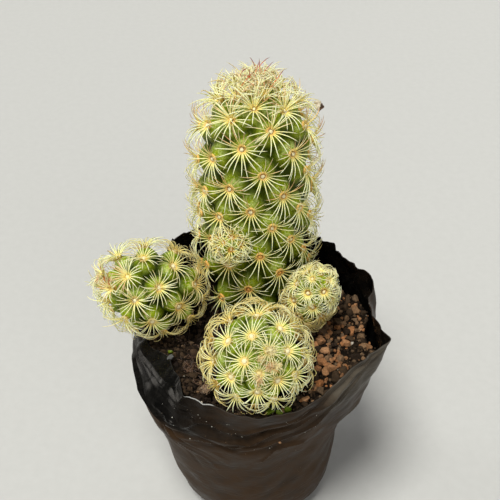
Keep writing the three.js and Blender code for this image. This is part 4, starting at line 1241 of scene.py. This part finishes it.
def bag_outline(angle):
    """Control points (distance, height) of the film's outer face, with shape (point, angle)."""
    crease_radius, crease_height = at_angle(CREASE, angle)
    rim_radius, rim_height = at_angle(RIM, angle)
    radii, heights = [], []
    for radius, height in BAG_BODY:
        share = min(1, height / BODY_SWAY["grow_height"])
        sway = BODY_SWAY["shift"] * np.cos(np.radians(angle - BODY_SWAY["towards"]))
        oval = BODY_SWAY["oval"] * np.cos(2 * np.radians(angle - BODY_SWAY["oval_angle"]))
        radii.append(radius + share * (sway + oval))
        heights.append(np.full_like(angle, height))
    radii[-1] = mix(radii[-1], crease_radius, BODY_TO_CREASE)
    body_radius, body_height = radii[-1], heights[-1]
    fade = np.minimum(np.mod(angle, 360) - BAND_ANGLES[0], BAND_ANGLES[-1] - np.mod(angle, 360)) / BAND_FADE
    for share, levels, sizes in BAND_LINES:
        reach = crease_height - body_height if share < 0 else rim_height - crease_height
        plain = crease_height + share * reach
        level = mix(plain, np.interp(angle, BAND_ANGLES, levels), smooth(fade))
        up = (level - crease_height) / (rim_height - crease_height)
        above = mix(crease_radius, rim_radius, up) + BAND_BULGE * np.sin(np.pi * np.clip(up, 0, 1))
        below = mix(body_radius, crease_radius, (level - body_height) / (crease_height - body_height))
        out = np.interp(angle, BAND_ANGLES, sizes) * smooth(fade)
        radii.append(np.where(up > 0, above, below) + out)
        heights.append(level)
    radii.append(rim_radius)
    heights.append(rim_height)
    return np.array(radii), np.array(heights)


def tent(away, above, below):
    """1 on a crease line, falling straight to 0 at a distance above and below it."""
    return np.maximum(0, 1 - np.abs(away) / np.where(away > 0, above, below))


def crease_relief(angle, height):
    """Sharp creases that stand out of the film or cut into it, with flat facets beside them."""
    fold_turn = turned(angle - (OUTER_FOLD["from"] + OUTER_FOLD["to"]) / 2)
    fold_reach = (OUTER_FOLD["to"] - OUTER_FOLD["from"]) / 2
    fold = tent(height - at_angle(CREASE, angle)[1], OUTER_FOLD["above"], OUTER_FOLD["below"])
    relief = OUTER_FOLD["size"] * fold * np.clip((fold_reach - np.abs(fold_turn)) / 14, 0, 1)
    for line, size, above, below in CREASE_LINES:
        table = np.array(sorted(line), float)
        middle = mix(table[0, 0], table[-1, 0], 0.5)
        turn = turned(angle - middle) + middle
        level = np.interp(turn, table[:, 0], table[:, 1])
        reach = (table[-1, 0] - table[0, 0]) / 2
        fade = np.clip((reach - np.abs(turn - middle)) / (0.35 * reach), 0, 1)
        relief = relief + size * fade * tent(height - level, above, below)
    return relief


def fan_creases(angle, height):
    """Tension creases that fan out from each corner of the rim, in and out by turns."""
    random = np.random.default_rng(5)
    relief = 0
    for (corner_angle, corner_height), end_angle, low, high, count in CREASE_FANS:
        for k in range(count):
            end_height = mix(low, high, (k + random.uniform(0.2, 0.8)) / count)
            reach = turned(end_angle - corner_angle) * random.uniform(0.6, 1.1)
            share = turned(angle - corner_angle) / reach
            sag = random.uniform(0, 2.4) * np.sin(np.pi * np.clip(share, 0, 1))
            away = height - mix(corner_height, end_height, share) + sag
            width = mix(0.8, 1.5, np.clip(share, 0, 1)) * random.uniform(0.8, 1.4)
            fade = smooth(share / 0.12) * smooth((1 - share) / 0.5)
            size = random.uniform(0.2, 0.5) * (1 if k % 2 else -1)
            relief = relief + size * fade * tent(away, width, width)
    return relief


def film_facets(angle, height):
    """Flat facets with straight edges between them, from folded waves that cross at many slants."""
    random = np.random.default_rng(8)
    turn = np.radians(angle)
    around = ring_points(NOISE_RADIUS, angle, height)
    relief = 0
    for _ in range(10):
        waves = random.integers(-16, 17)
        upright = random.uniform(0.25, 1.0) * random.choice([-1, 1])
        length = 2 * np.pi / math.hypot(waves / NOISE_RADIUS, upright)
        bent = random.uniform(0.1, 0.35) * noise(around, 14, random.integers(1000))
        phase = waves * turn / (2 * np.pi) + upright * height / (2 * np.pi) + bent + random.uniform(0, 1)
        fold = 4 * np.abs(phase - np.floor(phase) - 0.5) - 1
        where = smooth(noise(around, 16, random.integers(1000)) + 0.5)
        relief = relief + 0.022 * length * fold * where
    return relief


def film_relief(angle, height):
    """Creases and crinkles of the film, outward in millimetres."""
    facets = film_facets(angle, height) * mix(0.4, 0.8, smooth((height - 30) / 14))
    loose = (fan_creases(angle, height) + facets) * (1 - 0.9 * left_band(angle, height))
    return (crease_relief(angle, height) + loose) * smooth((height - 0.6) / 6)


def left_band(angle, height):
    """1 on the flat-folded band at the left front, where only its own creases act."""
    return smooth((50 - np.abs(turned(angle - BAND_MIDDLE))) / 10) * smooth((height - BAND_BOTTOM) / 4)


def torn_rim(angle):
    """Steps of the torn back edge and small teeth all round: height added to the rim, in millimetres."""
    random = np.random.default_rng(19)
    edge = list(TORN_EDGE)
    while edge[-1][0] < 150:
        last = edge[-1][0]
        width = random.uniform(4, 10)
        edge += [(last + 1.2, random.uniform(0.2, 1.1)), (last + width, random.uniform(-0.9, -0.1))]
    edge += [(edge[-1][0] + 4, 0), (360, 0)]
    steps = np.interp(np.mod(angle, 360), *np.array(edge).T)
    around = ring_points(NOISE_RADIUS, angle, 0)
    return steps + 0.3 * noise(around, 3.1, 21) + 0.2 * noise(around, 1.1, 22)


def make_film_face(columns, rows):
    """Angle, distance and height of the film's outer face, from the base's edge up to the rim."""
    angle = np.arange(columns) * 360 / columns
    radii, heights = bag_outline(angle)
    knots = np.arange(len(radii), dtype=float)
    share = np.linspace(0, sum(FILM_ROW_SHARES), rows)
    place = np.interp(share, np.concatenate([[0], np.cumsum(FILM_ROW_SHARES)]), knots)
    low = np.minimum(place.astype(int), len(radii) - 2)
    part = (place - low)[:, None]
    radius = mix(radii[low], radii[low + 1], part)
    height = mix(heights[low], heights[low + 1], part)
    angle = np.broadcast_to(angle, radius.shape)
    crisp = left_band(angle, height)[1:-1]
    for _ in range(ROUNDING_PASSES):
        for grid in (radius, height):
            grid[1:-1] = mix(0.25 * grid[:-2] + 0.5 * grid[1:-1] + 0.25 * grid[2:], grid[1:-1], crisp)
    near_rim = smooth((height - height[-1] + 7) / 7)
    height = height + near_rim ** 3 * torn_rim(angle)
    around = ring_points(NOISE_RADIUS, angle, 0)
    flutter = 0.6 * noise(around, 6.5, 23) + 0.25 * noise(around, 2.4, 24)
    crumple = np.exp(-(turned(angle - WHITE_EDGE_ANGLE) / 9) ** 2)
    flutter = flutter * (1 - 0.5 * crumple) * (1 - 0.8 * left_band(angle, math.inf))
    flutter = flutter + 0.6 * crumple * noise(around, 1.6, 25)
    band = left_band(angle, height)
    folds = fold_depth(angle, height) * smooth((height - 1.2) / 3) * (1 - 0.85 * band)
    flat = ring_points(NOISE_RADIUS + 1, angle, 3.6 * height)
    folds = folds + band * (0.3 * noise(flat, 7, 26) + 0.1 * noise(flat, 3, 27))
    radius = radius - folds + film_relief(angle, height)
    return angle, radius + near_rim ** 2 * flutter, height


def film_radius(angle, height):
    """Distance from the axis of the film's outer face at angles in degrees and heights."""
    _, radii, heights = FILM_FACE
    columns = radii.shape[1]
    angle, height = np.broadcast_arrays(np.asarray(angle, float), np.asarray(height, float))
    found = np.empty(angle.shape)
    for i in range(angle.size):
        column = int(round(angle.flat[i] / 360 * columns)) % columns
        found.flat[i] = np.interp(height.flat[i], heights[:, column], radii[:, column])
    return found


def make_bag(material):
    """The film as one closed sheet: up the inside from the middle of the base, over the rim, down outside."""
    outer = ring_points(FILM_FACE[1], FILM_FACE[0], FILM_FACE[2])
    rows, columns, _ = outer.shape
    around = np.roll(outer, -1, axis=1) - np.roll(outer, 1, axis=1)
    outward = unit(np.cross(around, np.gradient(outer, axis=0)))
    split = int(0.62 * rows)
    buried = 1 - smooth((np.arange(rows) - split + 20) / 20)
    inner = outer - outward * (FILM + INNER_SPACER * buried)[:, None, None]
    shrink = np.linspace(0, 1, BASE_RINGS + 2)[1:-1, None, None]
    below = outer[0] * shrink * (1, 1, 0)
    above = inner[0] * shrink * (1, 1, 0) + (0, 0, FILM + INNER_SPACER)
    inner_rows = [*range(0, split, INNER_STEP), *range(split, rows)]
    grid = np.concatenate([above, inner[inner_rows], outer[::-1], below[::-1]])
    points = np.concatenate([grid.reshape(-1, 3), [[0, 0, FILM + INNER_SPACER], [0, 0, 0]]])
    faces = [face[::-1] for face in grid_faces(len(grid), columns)]
    faces += fan_faces(len(points) - 2, 0, columns, False)
    faces += fan_faces(len(points) - 1, (len(grid) - 1) * columns, columns, True)
    direction = angle_of(points)
    level = points[:, 2]
    row = np.arange(len(points)) // columns
    rim_row = len(above) + len(inner_rows)
    near_band = np.exp(-(turned(direction - BAND_MIDDLE) / 40) ** 4)
    clean = np.maximum(smooth((level - BAND_BOTTOM) / 5) * mix(0.3, 1, near_band), row < rim_row)
    # The free edge is paled: stress-whitened film with a painted highlight, strongest at the crumpled edge at
    # the left front.
    white = smooth((8 - np.abs(turned(direction - WHITE_EDGE_ANGLE))) / 2)
    edge = (row == rim_row) * mix(0.04, 0.9, white)
    # Painted sheen: pale grey on the upper film at the right front corner, where that facet is lit.
    pale = smooth((26 - np.abs(turned(direction - PAINTED_SHEEN_ANGLE))) / 16) * smooth((level - 47) / 6)
    pale = pale * (row >= rim_row)
    bag = add_mesh("film_bag", points, faces, material, dust=1 - clean, edge=edge, pale=0.8 * pale)
    bag.data.set_sharp_from_angle(angle=SHARP_CREASE)
    return bag


def make_specks(material):
    """Dust and bits of soil that cling to the outside of the film: most at the front, some all round."""
    random = np.random.default_rng(63)
    front, others = 44, 40
    angles = np.concatenate([random.uniform(215, 300, front), random.uniform(0, 360, others)])
    heights = np.concatenate([random.uniform(40, 54, front), random.uniform(6, 54, others)])
    sizes = random.uniform(0.06, 0.16, front + others)
    hues = random.choice([0.6, 1, 1, 1], front + others)
    specks = np.concatenate([np.stack([angles, heights, sizes, hues], -1), CLINGING_BITS])
    angles, heights, sizes, hues = specks.T
    places = ring_points(film_radius(angles, heights) + 0.4 * sizes, angles, heights)
    points, faces = lumps(places, sizes, random.uniform(0.4, 0.9, len(specks)), 1, 64)
    return add_mesh("film_specks", points, faces, material, hue=spread(hues, points))


# Soil and grit

def soil_waves():
    """Long waves of the soil's top, as in the frame: steps in phase along x and y, phase and size."""
    random = seeded_random(41)
    waves = []
    for i in range(9):
        direction = next(random) * 2 * math.pi
        length = mix(5, 13, next(random))
        phase = next(random) * 2 * math.pi
        wave_x = math.cos(direction) * 2 * math.pi / length
        wave_y = math.sin(direction) * 2 * math.pi / length
        waves.append((wave_x, wave_y, phase, 0.28 if i < 4 else 0.16))
    return waves


def soil_height(x, y):
    """Height of the soil's plain top, with a hollow at the left front."""
    height = SOIL_LEVEL
    for wave_x, wave_y, phase, size in SOIL_WAVES:
        height = height + size * np.sin(wave_x * x + wave_y * y + phase)
    away = np.hypot(x + 18, y + 14) / 10
    return height - 1.2 * np.exp(-away ** 2)


def soil_opening(angle, level):
    """Distance from the axis to the narrowest part of the film above a level."""
    _, rim_height = at_angle(RIM, angle)
    reach = [film_radius(angle, mix(level, rim_height, share)) for share in np.linspace(0, 1, 6)]
    return np.minimum.reduce(reach) - FILM


def make_ground(material):
    """The soil under the grit: a solid that fills the bag to its uneven top."""
    angle = np.arange(GROUND_COLUMNS) * 360 / GROUND_COLUMNS
    _, rim_height = at_angle(RIM, angle)
    level = np.minimum(SOIL_LEVEL - 0.3, rim_height - 1.6)
    edge = soil_opening(angle, level) - 0.35
    share = np.linspace(1, 0, GROUND_RINGS + 1)[:-1, None]
    top = ring_points(share * edge, angle, 0.0)
    height = soil_height(top[..., 0], top[..., 1]) - 0.35
    height = height + 0.5 * noise(top, 2.6, 31) + 0.35 * noise(top, 0.9, 32)
    top[..., 2] = np.minimum(height, level + 0.6 + 12 * (1 - share))
    below = [ring_points(np.full(GROUND_COLUMNS, BASE_RADIUS - 1.5), angle, 1)]
    for depth in (3, 10, 20, 30, 40, 47.5):
        wall = np.minimum(film_radius(angle, depth) - FILM - 0.9, edge + 6)
        below.append(ring_points(wall, angle, depth))
    grid = np.concatenate([np.array(below), top])
    points = np.concatenate([grid.reshape(-1, 3), [[0, 0, float(soil_height(0, 0))], [0, 0, 1]]])
    faces = grid_faces(len(grid), GROUND_COLUMNS)
    faces += fan_faces(len(points) - 2, (len(grid) - 1) * GROUND_COLUMNS, GROUND_COLUMNS, False)
    faces += fan_faces(len(points) - 1, 0, GROUND_COLUMNS, True)
    return add_mesh("soil_ground", points, faces, material)


def scatter(random, count, sizes, coarse, heads, opening, taken):
    """Places for grains on the soil, clear of the heads, the film and the grains already taken."""
    places = [place for place, _ in taken]
    radii = [size for _, size in taken]
    first = len(places)
    for _ in range(count * SCATTER_TRIES):
        if len(places) - first >= count:
            break
        angle = random.uniform(0, 360)
        distance = SCATTER_REACH * math.sqrt(random.uniform(0, 1))
        size = random.uniform(*sizes)
        x = distance * math.cos(math.radians(angle))
        y = distance * math.sin(math.radians(angle))
        if distance > opening[int(angle)] - 0.9 * size:
            continue
        if random.uniform(0, 1) > (grit_share(x) if coarse else 1):
            continue
        place = np.array([x, y, float(soil_height(x, y)) - 0.35 + 0.4 * size])
        if any(head.depth_inside(place[None])[0] > -0.3 * size for head in heads):
            continue
        if places:
            apart = np.hypot(*(np.array(places)[:, :2] - place[:2]).T)
            if (apart < 0.56 * (np.array(radii) + size)).any():
                continue
        places.append(place)
        radii.append(size)
    return list(zip(places[first:], radii[first:]))


def grit_share(x):
    """How much of the soil is coarse lava grit: most at the right, little at the left."""
    return 0.25 + 0.75 * smooth((x - 6) / 10)


def grit_hues(random, places, fine):
    """A hue a grain: tan and orange lava at the right, dark brown at the left and in the fine crumbs."""
    count = len(places)
    right = smooth((places[:, 0] - 4) / 10)
    hue = random.normal(0.33, 0.14, count) if fine else mix(0.3, 0.56, right) + random.normal(0, 0.17, count)
    hue = np.clip(hue, 0, 0.78)
    orange = random.uniform(0, 1, count) < (0.06 if fine else 0.27) * right
    hue = np.where(orange, random.uniform(0.8, 0.94, count), hue)
    pale = random.uniform(0, 1, count) < 0.01
    return np.where(pale, random.uniform(0.95, 1, count), hue)


def make_grit(heads, material):
    """Coarse lava grit, middling lumps and fine crumbs. Each next kind fills the gaps of those before."""
    random = np.random.default_rng(77)
    opening = soil_opening(np.arange(360.0), np.full(360, SOIL_LEVEL - 0.6))
    taken = []
    for name, count, sizes, subdivisions, kind in GRAINS:
        found = scatter(random, count, sizes, kind == "coarse", heads, opening, taken)
        taken += found
        places, size = [np.array(values) for values in zip(*found)]
        flats = random.uniform(0.6, 1, len(found))
        points, faces = lumps(places, size, flats, subdivisions, 300 + count)
        hue = grit_hues(random, places, kind == "fine")
        piece = add_mesh(name, points, faces, material, hue=spread(hue, points))
        piece.data.set_sharp_from_angle(angle=SHARP_GRAIN)
        yield piece


# Stage, lights and camera

def make_floor():
    shader = Shader("floor", Roughness=0.6)
    grain = shader.noise(3, 3)
    shader.set("Base Color", shader.mix(shader.span(grain, 0.3, 0.7), (0.5, 0.5, 0.495), (0.52, 0.52, 0.515)))
    corners = [(x * FLOOR_HALF, y * FLOOR_HALF, 0) for x, y in ((-1, -1), (1, -1), (1, 1), (-1, 1))]
    mesh = bpy.data.meshes.new("floor")
    mesh.from_pydata(corners, [], [(0, 1, 2, 3)])
    mesh.materials.append(shader.material)
    floor = bpy.data.objects.new("floor", mesh)
    bpy.context.collection.objects.link(floor)
    floor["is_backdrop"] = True


def add_sun(name, direction, spread, power, colour):
    """Soft, even light from a direction. The spread is the light's width in degrees."""
    light = bpy.data.lights.new(name, "SUN")
    light.angle = math.radians(spread)
    light.energy = power
    light.color = colour
    obj = bpy.data.objects.new(name, light)
    obj.rotation_euler = Vector(direction).to_track_quat("Z", "Y").to_euler()
    bpy.context.collection.objects.link(obj)


def make_world():
    """A pale studio: bright along the horizon, dimmer overhead, so that undersides stay dark."""
    world = bpy.data.worlds.new("studio")
    bpy.context.scene.world = world
    world.use_nodes = True
    tree = world.node_tree
    place = tree.nodes.new("ShaderNodeTexCoord").outputs["Generated"]
    split = tree.nodes.new("ShaderNodeSeparateXYZ")
    tree.links.new(place, split.inputs[0])
    ramp = tree.nodes.new("ShaderNodeValToRGB")
    for element, position, colour in zip(ramp.color_ramp.elements, (0.06, 0.3), (HORIZON, OVERHEAD)):
        element.position = position
        element.color = (*colour, 1)
    tree.links.new(split.outputs["Z"], ramp.inputs["Fac"])
    tree.links.new(ramp.outputs["Color"], tree.nodes["Background"].inputs["Color"])


def make_lights():
    for light in LIGHTS:
        add_sun(*light)
    bpy.context.scene.view_settings.view_transform = "Standard"


def make_camera():
    """The photograph's viewing angle: 38 degrees down from the level, from straight in front."""
    camera_data = bpy.data.cameras.new("camera")
    camera_data.sensor_width = SENSOR_WIDTH
    camera_data.lens = CAMERA_LENS
    camera = bpy.data.objects.new("camera", camera_data)
    camera.location = CAMERA_PLACE
    camera.rotation_euler = (CAMERA_TILT, 0, 0)
    bpy.context.collection.objects.link(camera)
    bpy.context.scene.camera = camera


make_camera()
make_floor()
make_lights()
make_world()

SOIL_WAVES = soil_waves()
FILM_FACE = make_film_face(FILM_COLUMNS, FILM_ROWS)
spines = spine_material()
wool = wool_material()
grit = grit_material()
stem_skin = skin_material("stem_skin", *STEM_SKIN)
pup_skin = skin_material("pup_skin", *PUP_SKIN)

column, left, front, right, tiny = [Head(spec) for spec in head_specs()]
heads = [column, left, front, right]

for head in heads + [tiny]:
    node = "main_stem" if head is tiny else head.spec["name"]
    skin, skin_slot = (stem_skin, "stem_skin") if head is column else (pup_skin, "pup_skin")
    others = [other for other in heads if other is not head and not (head is tiny and other is column)]
    finish_piece(head_skin(head, skin), node, skin_slot)
    finish_piece(head_spines(head, others, spines), node, "spines")
    finish_piece(head_wool(head, wool), node, "wool")

film = film_material()
finish_piece(make_bag(film), "bag", "bag_film")
finish_piece(make_specks(grit), "bag", "soil")
finish_piece(make_ground(soil_material()), "soil", "soil")
for piece in make_grit(heads + [tiny], grit):
    finish_piece(piece, "soil", "soil")

dry = dry_material()
scrap_spine, scrap = make_scrap(column, spines, dry)
finish_piece(scrap_spine, "main_stem", "spines")
finish_piece(scrap, "main_stem", "wool")
finish_piece(make_tufts("front_tufts", front, FRONT_TUFTS, wool), "pup_front", "wool")
finish_piece(make_tufts("left_tufts", left, LEFT_TUFTS, wool), "pup_left", "wool")
for piece in make_litter(heads, film, dry, pup_skin):
    finish_piece(piece, "soil", "soil")

boxes = {"cad": cad_box, "visual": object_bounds()}
{name: [list(corner) for corner in box] for name, box in boxes.items()}
